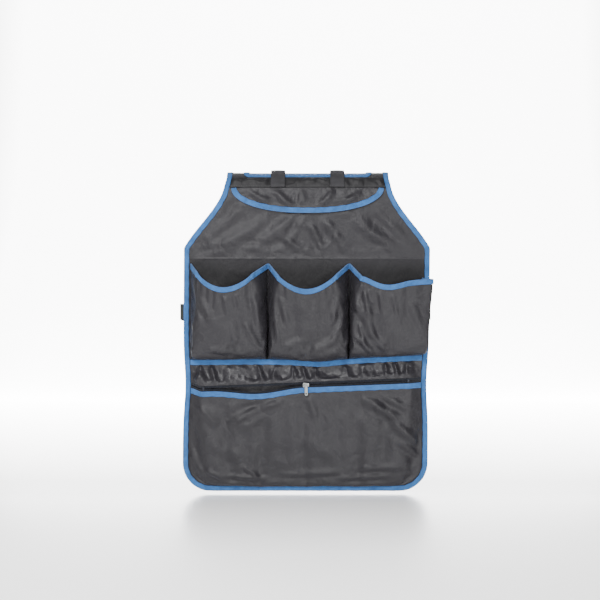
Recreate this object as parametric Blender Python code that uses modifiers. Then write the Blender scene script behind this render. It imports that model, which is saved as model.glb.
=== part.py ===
"""Car seat organizer: a nylon panel with pockets that hangs on the back of a car seat.

The cloth is described on a flat sheet and then draped. On the sheet, x runs across, s runs up the cloth
from the bottom edge, and off is the distance proud of the sheet's front. The seat back lies behind it.
"""

import math

import bmesh
import bpy
import numpy as np
from mathutils import Matrix, Vector

# Cloth, tape and the room between sewn layers
CLOTH = 0.0008
TAPE = 0.0006
GAP = 0.0003
TAPE_WIDTH = 0.0092
SEAM_ROOM = 0.0006

# The panel's outline
BODY_HALF = 0.2220
NECK_SEAM_HALF = 0.1505
NECK_HALF = 0.1460
CORNER_RADIUS = 0.0500
REAR_RADIUS = 0.0140
SHOULDER_LOW = 0.4400
SHOULDER_HIGH = 0.5480
SHOULDER_SLOPE = 0.85
NECK_SLOPE = 0.35
WAIST_PINCH = 0.0040
WAIST_SPREAD = 0.0500
HANG_LEAN = 0.0050

# How the sheet lies on the seat
BEND_START = 0.5380
BEND_RADIUS = 0.0380
SIDE_STRIP = 0.0700
SIDE_FALL = 0.0060
REAR_REACH = 0.0520

# Slot for the headrest posts, on the bend
SLOT_HALF = 0.1060
SLOT_FRONT = 0.5780
SLOT_LENGTH = 0.0380
SLOT_CORNER = 0.0060

# Top band, flap and bridging straps
BAND_FOOT = 0.5480
FLAP_SIDE_ROOM = 0.0135
FLAP_DROP = 0.0440
FLAP_POWER = 2.3
FLAP_TUCK = 0.0080
STRAP_SPACING = 0.1070
STRAP_WIDTH = 0.0255
STRAP_THICK = 0.0010
PATCH_THICK = 0.0007
PATCH_WIDTH = 0.0235
PATCH_LENGTH = 0.0170
PATCH_INSET = 0.0010
STRAP_INSET = 0.0005
STRAP_RUN_OUT = 0.0030
STRAP_STEP = 0.0040

# Row of three pockets
DIVIDERS = (-0.0700, 0.0760)
PEAK_HEIGHT = 0.4115
POCKET_DEPTH = 0.0370
POCKET_LOW_DEPTH = 0.0290
POCKET_CROWN = 0.0040
POCKET_HEM = 0.0020
RIM_ROOM = 0.0002
RIM_DROP = 0.0013
POCKET_FOOT_ROUND = 0.0240
FOOT_SPREAD = 0.30
# gussets: widths seen from the front; ridges: rim heights at the two ridges; scoop: the dip between them
POCKETS = {
    "pocket_left": {"gussets": (0.0140, 0.0270), "ridges": (0.3970, 0.3940), "scoop": 0.0250,
                    "low_at": 0.47, "scoop_power": 0.8, "end": 0.4115, "flare": 0.0},
    "pocket_middle": {"gussets": (0.0190, 0.0230), "ridges": (0.3900, 0.3930), "scoop": 0.0240,
                      "low_at": 0.50, "scoop_power": 0.85, "end": 0.4115, "flare": 0.0},
    "pocket_right": {"gussets": (0.0200, 0.0060), "ridges": (0.3905, 0.3850), "scoop": 0.0130,
                     "low_at": 0.43, "scoop_power": 1.8, "end": 0.3860, "flare": 0.0220},
}

# Gathered band over the zip; its bound top edge rises to the right: (x, height)
BAND_EDGE = ((-0.2200, 0.2379), (-0.0200, 0.2376), (0.0250, 0.2350), (0.0700, 0.2390), (0.2200, 0.2470))

# Zip
ZIP_HEIGHT = 0.1935
ZIP_SLOPE = 0.040
ZIP_STAND = 0.0100
ZIP_END_RUN = 0.0222
ZIP_END_LIFT = 0.0060
ZIP_TAPE = 0.0005
ZIP_TAPE_WIDTH = 0.0080
ZIP_LAP = 0.0005
COIL = 0.0020
COIL_SPLIT = 0.0016
MOUTH_LENGTH = 0.1740
MOUTH_SAG = 0.0080
BAND_CLEAR = 0.0050
POCKET_CLEAR = 0.0049
POCKET_BELLY = 0.0180

# Slider and pull
SLIDER_LENGTH = 0.0110
SLIDER_WIDTH = 0.0080
SLIDER_PLATE = 0.0010
SLIDER_ROOM = 0.0005
SLIDER_POST = 0.0010
SLIDER_POST_LENGTH = 0.0024
BAIL_INSET = 0.0006
BAIL_HEIGHT = 0.0027
BAIL_BAR = 0.0013
BAIL_LEG = 0.0014
PULL_LENGTH = 0.0190
PULL_WIDTH = 0.0058
PULL_THICK = 0.0013
PULL_EYE = 0.0042
PULL_EYE_WIDTH = 0.0026
PULL_HOLE = 0.0021
PULL_LAP = 0.0005
STOP_SIZE = 0.0030
STOP_THICK = 0.0010

# Elastic strap that goes round the seat
SEAT_STRAP_HEIGHT = 0.3250
SEAT_STRAP_WIDTH = 0.0280
SEAT_STRAP_THICK = 0.0012
SEAT_STRAP_DEPTH = 0.0700
SEAT_STRAP_DROOP = 0.0100
SEAT_STRAP_BULGE = (0.0070, 0.0030)
SEAT_STRAP_TURN = 0.0120

# Worked out from the sizes above
BEND_END = BEND_START + BEND_RADIUS * math.pi / 2
SLOT_REAR = SLOT_FRONT + SLOT_LENGTH
REAR_EDGE = BEND_END + REAR_REACH
FOLD = CLOTH / 2 + GAP + TAPE / 2
BOUND = FOLD + TAPE / 2
EDGE_ROOM = TAPE / 2 + GAP
LAYER_ONE = CLOTH + GAP
ON_PANEL = CLOTH / 2 + GAP + BOUND
TUCK = TAPE_WIDTH + SEAM_ROOM
BAND_OFF = ON_PANEL + CLOTH + GAP
ARC_ROWS = np.linspace(BEND_START, BEND_END, 12)
FLAP_HALF = NECK_SEAM_HALF - FLAP_SIDE_ROOM
SIDE_FLAT = BODY_HALF - SIDE_STRIP
ZIP_SIDES = BODY_HALF - WAIST_PINCH - TUCK
ZIP_STRAIGHT = ZIP_SIDES - ZIP_END_RUN
ZIP_ENDS = [ZIP_STRAIGHT + ZIP_END_RUN * share for share in (0.0, 0.25, 0.5, 0.75, 1.0)]
ZIP_SIDE_STEPS = [SIDE_FLAT + (ZIP_STRAIGHT - SIDE_FLAT) * share for share in (0.33, 0.66)]
ZIP_COLUMNS = [*(-x for x in reversed([*ZIP_SIDE_STEPS, *ZIP_ENDS])), *np.linspace(-SIDE_FLAT, 0.0, 11),
               *np.linspace(0.0, SIDE_FLAT, 5)[1:], *ZIP_SIDE_STEPS, *ZIP_ENDS]


def smooth(value):
    """An S-shaped step from 0 to 1."""
    t = min(max(value, 0.0), 1.0)
    return t * t * (3 - 2 * t)


def quarter_round(value):
    """Rises from 0 to 1 as a quarter of a circle does."""
    t = min(max(value, 0.0), 1.0)
    return math.sqrt(t * (2 - t))


def curve_through(points, x):
    """A smooth curve through (x, height) points."""
    xs = [p[0] for p in points]
    ys = [p[1] for p in points]
    x = min(max(x, xs[0]), xs[-1])
    slopes = np.gradient(ys, xs)
    i = min(int(np.searchsorted(xs, x, side="right")) - 1, len(xs) - 2)
    span = xs[i + 1] - xs[i]
    t = (x - xs[i]) / span
    return ((2 * t**3 - 3 * t**2 + 1) * ys[i] + (t**3 - 2 * t**2 + t) * span * slopes[i]
            + (3 * t**2 - 2 * t**3) * ys[i + 1] + (t**3 - t**2) * span * slopes[i + 1])


def shoulder_share(t):
    """How much of the step from neck to body is left, from 1 at the shoulder to 0 at the neck."""
    return ((2 * t**3 - 3 * t**2 + 1) - SHOULDER_SLOPE * (t**3 - 2 * t**2 + t)
            - NECK_SLOPE * (t**3 - t**2))


def side_line(s):
    """Half the panel's width at height s, without the rounding of its corners."""
    if s < SHOULDER_LOW:
        waist = math.exp(-(((s - ZIP_HEIGHT) / WAIST_SPREAD) ** 2))
        return BODY_HALF - WAIST_PINCH * waist
    if s < SHOULDER_HIGH:
        t = (s - SHOULDER_LOW) / (SHOULDER_HIGH - SHOULDER_LOW)
        return NECK_SEAM_HALF + (BODY_HALF - NECK_SEAM_HALF) * shoulder_share(t)
    t = min((s - SHOULDER_HIGH) / (SLOT_FRONT - TAPE_WIDTH - SHOULDER_HIGH), 1.0)
    return NECK_SEAM_HALF + (NECK_HALF - NECK_SEAM_HALF) * t


def half_width(s, inset=0.0):
    """Half the panel's width at height s, measured inset inside its bound edge."""
    step = 0.0005
    slope = (side_line(s + step) - side_line(s - step)) / (2 * step)
    if s < CORNER_RADIUS:
        reach = max((CORNER_RADIUS - inset) ** 2 - (CORNER_RADIUS - s) ** 2, 0.0)
        return side_line(CORNER_RADIUS) - CORNER_RADIUS + math.sqrt(reach)
    if s > REAR_EDGE - REAR_RADIUS:
        reach = max((REAR_RADIUS - inset) ** 2 - (s - REAR_EDGE + REAR_RADIUS) ** 2, 0.0)
        return NECK_HALF - REAR_RADIUS + math.sqrt(reach)
    return side_line(s) - inset * math.sqrt(1 + slope * slope)


def side_fall(x):
    """How far the sheet falls back towards its sides."""
    return SIDE_FALL * (max(abs(x) - SIDE_FLAT, 0.0) / SIDE_STRIP) ** 2


def drape(x, s, off=0.0):
    """The point of the hanging organizer for a point of the sheet."""
    y = side_fall(x)
    x -= HANG_LEAN * max(1 - s / BEND_END, 0.0)
    if s <= BEND_START:
        return Vector((x, y - off, s))
    if s >= BEND_END:
        return Vector((x, y + BEND_RADIUS + s - BEND_END, BEND_START + BEND_RADIUS + off))
    turn = (s - BEND_START) / BEND_RADIUS
    reach = BEND_RADIUS + off
    return Vector((x, y + BEND_RADIUS - reach * math.cos(turn), BEND_START + reach * math.sin(turn)))


def with_arc_rows(low, high, between=()):
    """Heights from low to high, with a row at each facet of the bend."""
    rows = [low, high, *between, *(r for r in ARC_ROWS if low + 0.001 < r < high - 0.001)]
    return sorted(set(float(r) for r in rows))


def make_material(name, colour, roughness, metallic=0.0):
    material = bpy.data.materials.new(name)
    material.use_nodes = True
    shader = material.node_tree.nodes["Principled BSDF"]
    shader.inputs["Base Color"].default_value = (*colour, 1.0)
    shader.inputs["Roughness"].default_value = roughness
    shader.inputs["Metallic"].default_value = metallic
    return material


def add_object(name, mesh, material):
    obj = bpy.data.objects.new(name, mesh)
    mesh.materials.append(material)
    organizer.objects.link(obj)
    obj.parent = hanger
    return obj


def cloth_piece(name, across, up, place, thickness, material, hole=None, ring=False):
    """A grid whose points place(a, b) puts where they hang, given its thickness by Solidify."""
    grid = bmesh.new()
    columns, rows = len(across) - 1, len(up) - 1
    bmesh.ops.create_grid(grid, x_segments=columns, y_segments=rows, size=0.5)
    spots = {}
    for vertex in grid.verts:
        i, j = round((vertex.co.x + 0.5) * columns), round((vertex.co.y + 0.5) * rows)
        spots[vertex] = (i, j)
    if hole:
        inside = []
        for face in grid.faces:
            i = min(spots[v][0] for v in face.verts)
            j = min(spots[v][1] for v in face.verts)
            if hole(i, j):
                inside.append(face)
        bmesh.ops.delete(grid, geom=inside, context="FACES")
    for vertex in grid.verts:
        i, j = spots[vertex]
        vertex.co = place(across[i], up[j])
    if ring:
        bmesh.ops.remove_doubles(grid, verts=grid.verts, dist=1e-6)
    mesh = bpy.data.meshes.new(name)
    grid.to_mesh(mesh)
    grid.free()
    obj = add_object(name, mesh, material)
    obj.data.shade_smooth()
    obj.data.set_sharp_from_angle(angle=math.radians(40))
    shell = obj.modifiers.new("thickness", "SOLIDIFY")
    shell.thickness = thickness
    shell.offset = 0.0
    shell.use_even_offset = True
    return obj


def fold_profile(leg_steps=1):
    """The section of a binding tape folded over an edge, as (distance in from the edge, off)."""
    leg = [TAPE_WIDTH * (leg_steps - k) / leg_steps for k in range(leg_steps)]
    return [(w, -FOLD) for w in leg] + [(0.0, -FOLD), (0.0, FOLD)] + [(w, FOLD) for w in leg[::-1]]


def binding(name, path, base_off, material, ring=False, leg_steps=1, upright=False):
    """Tape folded over a path on the sheet. The cloth lies left of the path, or under it if upright."""
    path = [Vector(p) for p in path]
    inward = []
    for i, point in enumerate(path):
        if ring:
            before, after = path[(i - 1) % len(path)], path[(i + 1) % len(path)]
        else:
            before, after = path[max(i - 1, 0)], path[min(i + 1, len(path) - 1)]
        along = (after - before).normalized()
        inward.append(Vector((0.0, -1.0)) if upright else Vector((-along.y, along.x)))
    count = len(path)
    profile = fold_profile(leg_steps)

    def place(i, k):
        i %= count
        w, off = profile[k]
        spot = path[i] + inward[i] * w
        return drape(spot.x, spot.y, base_off(spot.x) + off)

    across = range(count + 1 if ring else count)
    return cloth_piece(name, across, range(len(profile)), place, TAPE, material, ring=ring)


def edge_rows(inset):
    """Heights of the rows of points up the panel's edge, inset inside its bound edge."""
    steps = np.linspace(0, math.pi / 2, 7)
    corner = [CORNER_RADIUS - (CORNER_RADIUS - inset) * math.cos(a) for a in steps]
    body = np.linspace(CORNER_RADIUS, SHOULDER_LOW, 11)[1:]
    shoulder = np.linspace(SHOULDER_LOW, BEND_START, 10)[1:]
    rear_start = REAR_EDGE - REAR_RADIUS
    rear = [rear_start + (REAR_RADIUS - inset) * math.sin(a) for a in np.linspace(0, math.pi / 2, 5)]
    return [*corner, *body, *shoulder, *ARC_ROWS[1:], *rear]


def panel_shares():
    """The panel's columns, as shares of its half width. Two of them are the slot's sides."""
    side = [(SLOT_HALF + EDGE_ROOM) / (NECK_HALF - EDGE_ROOM), 0.785, 0.84, 0.895, 0.95, 1.0]
    return [*(-share for share in reversed(side)), *side]


def outline_path():
    """The bound edge of the panel, anticlockwise from the right end of its foot."""
    right = [(half_width(s), s) for s in edge_rows(0.0)]
    left = [(-x, s) for x, s in right[::-1]]
    rear_run = [(x, REAR_EDGE) for x in np.linspace(right[-1][0], left[0][0], 5)[1:-1]]
    foot_run = [(share * right[0][0], 0.0) for share in panel_shares()[1:-1]]
    return right + rear_run + left + foot_run


def back_panel(material):
    """The one cloth behind everything, with the headrest slot cut in its bend."""
    across = panel_shares()
    slot = [SLOT_FRONT - EDGE_ROOM, SLOT_REAR + EDGE_ROOM]
    up = sorted([*edge_rows(EDGE_ROOM), *slot])
    slot_rows = (up.index(slot[0]), up.index(slot[1]))
    slot_columns = (len(across) // 2 - 1, len(across) // 2)

    def hole(i, j):
        return slot_columns[0] <= i < slot_columns[1] and slot_rows[0] <= j < slot_rows[1]

    def place(u, s):
        return drape(u * half_width(s, EDGE_ROOM), s)

    return cloth_piece("back_panel", across, up, place, CLOTH, material, hole=hole)


def slot_path():
    """The headrest slot's bound edge, clockwise, so that the cloth lies to its left."""
    x_in, front_in, rear_in = SLOT_HALF - SLOT_CORNER, SLOT_FRONT + SLOT_CORNER, SLOT_REAR - SLOT_CORNER
    corners = [(x_in, front_in, 0), (-x_in, front_in, 270), (-x_in, rear_in, 180), (x_in, rear_in, 90)]
    up_side = with_arc_rows(front_in, rear_in)[1:-1]
    runs = [[(x, SLOT_FRONT) for x in np.linspace(x_in, -x_in, 9)[1:-1]],
            [(-SLOT_HALF, s) for s in up_side],
            [(x, SLOT_REAR) for x in np.linspace(-x_in, x_in, 9)[1:-1]],
            [(SLOT_HALF, s) for s in reversed(up_side)]]
    path = []
    for (x, s, start), run in zip(corners, runs):
        sweep = [math.radians(start - side) for side in (0, 30, 60, 90)]
        path += [(x + SLOT_CORNER * math.cos(a), s + SLOT_CORNER * math.sin(a)) for a in sweep]
        path += run
    return path


def top_band(material):
    """The strip across the top that holds the flap's seam and the straps' fastening."""
    across = np.linspace(-1, 1, 13)
    up = with_arc_rows(BAND_FOOT, SLOT_FRONT - TAPE_WIDTH - SEAM_ROOM)

    def place(u, s):
        return drape(u * half_width(s, TUCK), s, BAND_OFF)

    return cloth_piece("top_band", across, up, place, CLOTH, material)


FLAP_TURNS = [0.0115, 0.05, *np.linspace(0.12, math.pi - 0.12, 23), math.pi - 0.05, math.pi - 0.0115]


def flap_share(turn):
    """The share of the flap's half width reached at a turn round its edge, from its left end."""
    return math.copysign(abs(math.cos(turn)) ** (2 / FLAP_POWER), -math.cos(turn))


def flap_depth(u, shrink=0.0):
    """How far the flap hangs at the share u of its half width."""
    return (FLAP_DROP - shrink) * math.sqrt(max(1 - abs(u) ** FLAP_POWER, 0.0))


def top_flap(material):
    """The rounded flap under the top band."""
    across = [flap_share(a) for a in FLAP_TURNS[2:-2:2]]
    up = np.linspace(0, 1, 9)
    half = FLAP_HALF - EDGE_ROOM

    def place(u, v):
        tuck = FLAP_TUCK * smooth((0.9 - abs(u)) / 0.1)
        top = BAND_FOOT - SEAM_ROOM + tuck
        low = BAND_FOOT - SEAM_ROOM - flap_depth(u, EDGE_ROOM)
        return drape(u * half, low + (top - low) * v, ON_PANEL)

    return cloth_piece("top_flap", across, up, place, CLOTH, material)


def flap_path():
    """The flap's bound edge from its left end round to its right end."""
    return [(FLAP_HALF * flap_share(a), BAND_FOOT - SEAM_ROOM - FLAP_DROP * math.sin(a)) for a in FLAP_TURNS]


def strap_off(s):
    """The strap's height over the sheet: over the patches in front, sewn down behind the slot."""
    front = BAND_OFF + CLOTH / 2 + 3 * GAP + 2 * PATCH_THICK + STRAP_THICK / 2
    over_tape = BOUND + GAP + STRAP_THICK / 2
    sewn = CLOTH / 2 + GAP + STRAP_THICK / 2
    patch_end = BAND_FOOT + PATCH_LENGTH + STRAP_RUN_OUT
    slot_end = SLOT_REAR + TAPE_WIDTH + SEAM_ROOM
    if s < SLOT_REAR:
        return front + (over_tape - front) * smooth((s - patch_end) / (SLOT_REAR - patch_end))
    return over_tape + (sewn - over_tape) * smooth((s - slot_end) / STRAP_STEP)


def bridging_strap(name, centre, material):
    """A webbing strap that bridges the slot and closes on the top band."""
    end = REAR_EDGE - TAPE_WIDTH - SEAM_ROOM
    slot_end = SLOT_REAR + TAPE_WIDTH + SEAM_ROOM
    between = [SLOT_REAR, slot_end, slot_end + STRAP_STEP]
    up = with_arc_rows(BAND_FOOT + STRAP_INSET, end, between)
    across = np.linspace(-STRAP_WIDTH / 2, STRAP_WIDTH / 2, 3)

    def place(x, s):
        return drape(centre + x, s, strap_off(s))

    return cloth_piece(name, across, up, place, STRAP_THICK, material)


def patch(name, centre, layer, material):
    """One half of the hook-and-loop fastening, on the top band or under the strap."""
    off = BAND_OFF + CLOTH / 2 + GAP + PATCH_THICK / 2 + layer * (PATCH_THICK + GAP)
    up = with_arc_rows(BAND_FOOT + PATCH_INSET, BAND_FOOT + PATCH_INSET + PATCH_LENGTH)
    across = np.linspace(-PATCH_WIDTH / 2, PATCH_WIDTH / 2, 3)

    def place(x, s):
        return drape(centre + x, s, off)

    return cloth_piece(name, across, up, place, PATCH_THICK, material)


def band_edge(x):
    """Height of the gathered band's bound top edge."""
    return curve_through(BAND_EDGE, x)


def pocket_seams(name):
    """The x of a pocket's two seams: on a divider, or just inside the panel's binding."""
    outer = BODY_HALF - TUCK - BOUND
    seams = (-outer, *DIVIDERS, outer)
    k = list(POCKETS).index(name)
    return seams[k], seams[k + 1]


def rim_height(name, u):
    """Height of a pocket's rim. u is 0 to 1 in the left gusset, 1 to 2 in front, 2 to 3 in the right one."""
    shape = POCKETS[name]
    left_ridge, right_ridge = shape["ridges"]
    if u < 1:
        return PEAK_HEIGHT + (left_ridge - PEAK_HEIGHT) * u
    if u > 2:
        return right_ridge + (shape["end"] - right_ridge) * (u - 2)
    f = u - 1
    bend = math.log(0.5) / math.log(shape["low_at"])
    dip = math.sin(math.pi * f**bend) ** shape["scoop_power"] if 0 < f < 1 else 0.0
    return left_ridge + (right_ridge - left_ridge) * f - shape["scoop"] * dip


def pocket_x(name, u, spread):
    """The x of a column of a pocket, its gussets folded together by spread."""
    left, right = pocket_seams(name)
    if u <= 0:
        return left + POCKET_HEM * (1 + u)
    if u >= 3:
        return right - POCKET_HEM * (4 - u)
    gussets = [g * spread for g in POCKETS[name]["gussets"]]
    ridges = (left + POCKET_HEM + gussets[0], right - POCKET_HEM - gussets[1])
    if u < 1:
        return left + POCKET_HEM + gussets[0] * u
    if u > 2:
        return ridges[1] + gussets[1] * (u - 2)
    return ridges[0] + (ridges[1] - ridges[0]) * (u - 1)


def pocket_foot(name, u):
    """Height of a pocket's sewn foot, just over the lower band's tape."""
    return band_edge(pocket_x(name, u, FOOT_SPREAD)) + SEAM_ROOM


def pocket_point(name, u, drop):
    """(x, s, off) of a pocket's cloth, drop below its rim. u goes on past 0 and 3 into the flat hems."""
    rim = rim_height(name, min(max(u, 0.0), 3.0))
    foot = pocket_foot(name, u)
    s = rim - drop
    v = (s - foot) / (rim - foot)
    x = pocket_x(name, u, FOOT_SPREAD + (1 - FOOT_SPREAD) * smooth(v))
    seam_off = LAYER_ONE + (ON_PANEL + RIM_ROOM - LAYER_ONE) * smooth((v - 0.78) / 0.12)
    depth = POCKET_LOW_DEPTH + (POCKET_DEPTH - POCKET_LOW_DEPTH) * v
    depth *= quarter_round((s - foot) / POCKET_FOOT_ROUND)
    t = min(max(u, 0.0), max(3.0 - u, 0.0), 1.0)
    share = 0.5 * t + 0.5 * math.sin(math.pi / 2 * t)
    crown = POCKET_CROWN / POCKET_DEPTH * math.sin(math.pi * (u - 1)) if 1 < u < 2 else 0.0
    off = seam_off + depth * (share + crown)
    flare = POCKETS[name]["flare"] * smooth((u - 1.75) / 0.25) * share * min(off / POCKET_DEPTH, 1.0)
    return x + flare, s, off


HEM_STEP = 0.7
POCKET_COLUMNS = [-HEM_STEP, 0.0, 0.2, 0.45, 0.7, 0.88, 1.0, 1.08, 1.2, 1.35, 1.5, 1.65, 1.8, 1.92, 2.0,
                  2.12, 2.3, 2.55, 2.8, 3.0, 3.0 + HEM_STEP]


def pocket(name, material):
    """A pocket's cloth: two gussets and a front, sewn down at its sides and foot."""
    rows = [0.0, 0.005, 0.018, 0.045, 0.09, 0.16, 0.36, 0.60, 0.78, 0.84, 0.90, 0.95, 1.0]

    def place(u, v):
        rim = pocket_point(name, u, 0.0)[1]
        low = pocket_foot(name, u) + CLOTH / 2
        top = rim - RIM_DROP
        return drape(*pocket_point(name, u, rim - (low + (top - low) * v)))

    return cloth_piece(name, POCKET_COLUMNS, rows, place, CLOTH, material)


def pocket_binding(material):
    """One tape along all three rims, flat on the panel at the dividers."""
    columns = []
    for name in POCKETS:
        own = [u for u in POCKET_COLUMNS if 0.0 <= u <= 3.0]
        columns += [(name, u) for u in own]
    columns = [("pocket_left", -HEM_STEP), *columns, ("pocket_right", 3.0 + HEM_STEP)]
    profile = fold_profile()

    def plan(i, drop):
        x, s, off = pocket_point(*columns[i], drop)
        return Vector((x, off)), s

    def place(i, k):
        drop, shift = profile[k]
        shift += math.copysign(RIM_ROOM, shift)
        here, s = plan(i, drop)
        ways = []
        if i > 0:
            ways.append((here - plan(i - 1, drop)[0]).normalized())
        if i < len(columns) - 1:
            ways.append((plan(i + 1, drop)[0] - here).normalized())
        normals = [Vector((-w.y, w.x)) for w in ways]
        out = sum(normals, Vector((0.0, 0.0))).normalized()
        stretch = 1 / max(out.dot(normals[0]), 0.4)
        spot = here + out * shift * stretch
        return drape(spot.x, s, spot.y)

    return cloth_piece("pocket_binding", range(len(columns)), range(len(profile)), place, TAPE, material)


def zip_line(x):
    """Height of the zip's middle line: straight under the slider's travel, lifted at its left end."""
    lift = ZIP_END_LIFT * smooth((-x - ZIP_STRAIGHT) / ZIP_END_RUN)
    return ZIP_HEIGHT + ZIP_SLOPE * x + lift


def zip_off(x):
    """How far the zip stands off the panel: level under the travel, down to the panel at its ends."""
    level = ZIP_STAND + side_fall(x)
    fall = smooth((abs(x) - ZIP_STRAIGHT) / ZIP_END_RUN)
    return level + (ON_PANEL - level) * fall


def mouth_sag(x):
    """How far the open side of the zip hangs below its middle line, left of the slider."""
    t = (x + MOUTH_LENGTH) / MOUTH_LENGTH
    return MOUTH_SAG * math.sin(math.pi * t) ** 2 if 0 < t < 1 else 0.0


def lower_band(material):
    """The gathered strip between the pockets' feet and the zip."""
    rows = [0.0, 0.5, 1.0, 1.35, 1.7, 2.0, 3.0]

    def place(x, v):
        low = zip_line(x) + BAND_CLEAR
        lap = zip_line(x) + COIL_SPLIT / 2 + ZIP_TAPE_WIDTH + SEAM_ROOM
        top = band_edge(x) - EDGE_ROOM
        flat = band_edge(x) - TAPE_WIDTH - SEAM_ROOM
        front = zip_off(x) + ZIP_TAPE / 2 + ZIP_LAP + CLOTH / 2
        if v <= 1:
            return drape(x, low + (lap - low) * v, front)
        t = min(v - 1, 1.0)
        s = lap + (flat - lap) * t if v <= 2 else flat + (top - flat) * (v - 2)
        reach = ZIP_SIDES + (half_width(s, TUCK) - ZIP_SIDES) * t
        return drape(x * reach / ZIP_SIDES, s, front + (ON_PANEL - front) * smooth(t))

    return cloth_piece("lower_band", ZIP_COLUMNS, rows, place, CLOTH, material)


def lower_band_binding(material):
    """The tape along the lower band's top edge."""
    path = []
    for column in reversed(ZIP_COLUMNS):
        reach = half_width(band_edge(column) - TAPE_WIDTH, TUCK) - SEAM_ROOM
        path.append((column * reach / ZIP_SIDES, band_edge(column)))
    return binding("lower_band_binding", path, lambda x: ON_PANEL, material, upright=True)


def zip_pocket_edge(x):
    """Height of the zip pocket's bound top edge."""
    return zip_line(x) - POCKET_CLEAR - mouth_sag(x)


def zip_pocket_off(x, s):
    """How far the zip pocket's cloth stands off the panel."""
    foot = TUCK
    top = zip_pocket_edge(x)
    t = min(max((s - foot) / (top - foot), 0.0), 1.0)
    edge = zip_off(x) + ZIP_TAPE / 2 + ZIP_LAP + BOUND
    across = 1 - min(abs(x) / half_width(max(s, foot), TUCK), 1.0) ** 8
    belly = POCKET_BELLY * quarter_round(t / 0.45) * across + LAYER_ONE
    flat_from = 1 - 1.3 * TAPE_WIDTH / (top - foot)
    blend = smooth((t - 0.45) / (flat_from - 0.45))
    return belly + (edge - belly) * blend


def zip_pocket(material):
    """The large pocket's front, sewn in at its sides and foot."""
    lowest, reach = TUCK, half_width(ZIP_HEIGHT, TUCK)
    across = [x / ZIP_SIDES for x in ZIP_COLUMNS]
    rows = [0.0, 0.012, 0.04, 0.09, 0.15, 0.23, 0.32, 0.45, 0.60, 0.73, 0.83, 0.89, 0.925, 1.0]

    def place(u, v):
        top = zip_pocket_edge(u * ZIP_SIDES) - EDGE_ROOM
        s = lowest + (top - lowest) * v
        x = u * half_width(s, TUCK) if v < 0.9 else u * reach
        return drape(x, s, zip_pocket_off(x, s))

    return cloth_piece("zip_pocket", across, rows, place, CLOTH, material)


def zip_pocket_binding(material):
    """The tape along the zip pocket's top edge."""
    path = [(x, zip_pocket_edge(x)) for x in reversed(ZIP_COLUMNS)]
    return binding("zip_pocket_binding", path,
                   lambda x: zip_off(x) + ZIP_TAPE / 2 + ZIP_LAP + BOUND, material, upright=True)


def zip_tape(name, side, material):
    """Half of the zip's tape. side is 1 above the slider's line and -1 below it."""

    def place(x, w):
        sag = mouth_sag(x) if side < 0 else 0.0
        return drape(x, zip_line(x) - sag + side * (COIL_SPLIT / 2 + w), zip_off(x))

    return cloth_piece(name, ZIP_COLUMNS, [0.0, ZIP_TAPE_WIDTH], place, ZIP_TAPE, material)


def zip_coil(name, side, material):
    """The row of teeth along one tape, as a plain bead."""
    half = COIL / 2
    columns = [x for x in ZIP_COLUMNS if abs(x) <= ZIP_STRAIGHT - STOP_SIZE - GAP]
    columns = [-(ZIP_STRAIGHT - STOP_SIZE - GAP), *columns, ZIP_STRAIGHT - STOP_SIZE - GAP]
    columns = sorted(set(columns))

    def place(x, w):
        sag = mouth_sag(x) if side < 0 else 0.0
        off = zip_off(x) + ZIP_TAPE / 2 + GAP + half
        return drape(x, zip_line(x) - sag + side * (COIL_SPLIT / 2 + w), off)

    return cloth_piece(name, columns, [0.0, COIL], place, COIL, material)


def joined(name, shapes, material):
    """One solid from shapes that overlap, by Boolean unions. The first one stays in the model."""
    base = shapes[0]
    for other in shapes[1:]:
        join = base.modifiers.new("join", "BOOLEAN")
        join.operation = "UNION"
        join.solver = "EXACT"
        join.object = as_helper(other)
    base.name = name
    base.data.name = name
    base.data.materials.append(material)
    return base


def as_helper(obj):
    """Moves a shape out of the model, to be used only by Booleans."""
    organizer.objects.unlink(obj)
    cutters.objects.link(obj)
    obj.hide_render = True
    obj.display_type = "WIRE"
    return obj


def on_zip(mesh, spot=0.0):
    """An object on the slider's line, turned to the zip's slope. spot is where along the zip."""
    obj = bpy.data.objects.new(mesh.name, mesh)
    organizer.objects.link(obj)
    obj.location = drape(spot, ZIP_HEIGHT + ZIP_SLOPE * spot)
    obj.rotation_euler = (0.0, -math.atan(ZIP_SLOPE), 0.0)
    obj.parent = hanger
    return obj


def block(size, centre, spot=0.0):
    """A box in the zip's own axes: x along the zip, -y off the panel and z across the zip."""
    mesh = bpy.data.meshes.new("block")
    cube = bmesh.new()
    bmesh.ops.create_cube(cube, size=1.0)
    bmesh.ops.scale(cube, vec=size, verts=cube.verts)
    bmesh.ops.translate(cube, vec=centre, verts=cube.verts)
    cube.to_mesh(mesh)
    cube.free()
    return on_zip(mesh, spot)


def rod(width, length, centre, segments=16):
    """A round bar along the zip."""
    mesh = bpy.data.meshes.new("rod")
    bar = bmesh.new()
    bmesh.ops.create_cone(bar, cap_ends=True, segments=segments, radius1=width / 2, radius2=width / 2,
                          depth=length)
    bmesh.ops.rotate(bar, cent=(0, 0, 0), verts=bar.verts, matrix=Matrix.Rotation(math.pi / 2, 3, "Y"))
    bmesh.ops.translate(bar, vec=centre, verts=bar.verts)
    bar.to_mesh(mesh)
    bar.free()
    return on_zip(mesh)


COIL_FRONT = ZIP_STAND + ZIP_TAPE / 2 + GAP + COIL
PLATE_FRONT = COIL_FRONT + SLIDER_ROOM + SLIDER_PLATE
BAIL_AT = PLATE_FRONT + BAIL_HEIGHT


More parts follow.
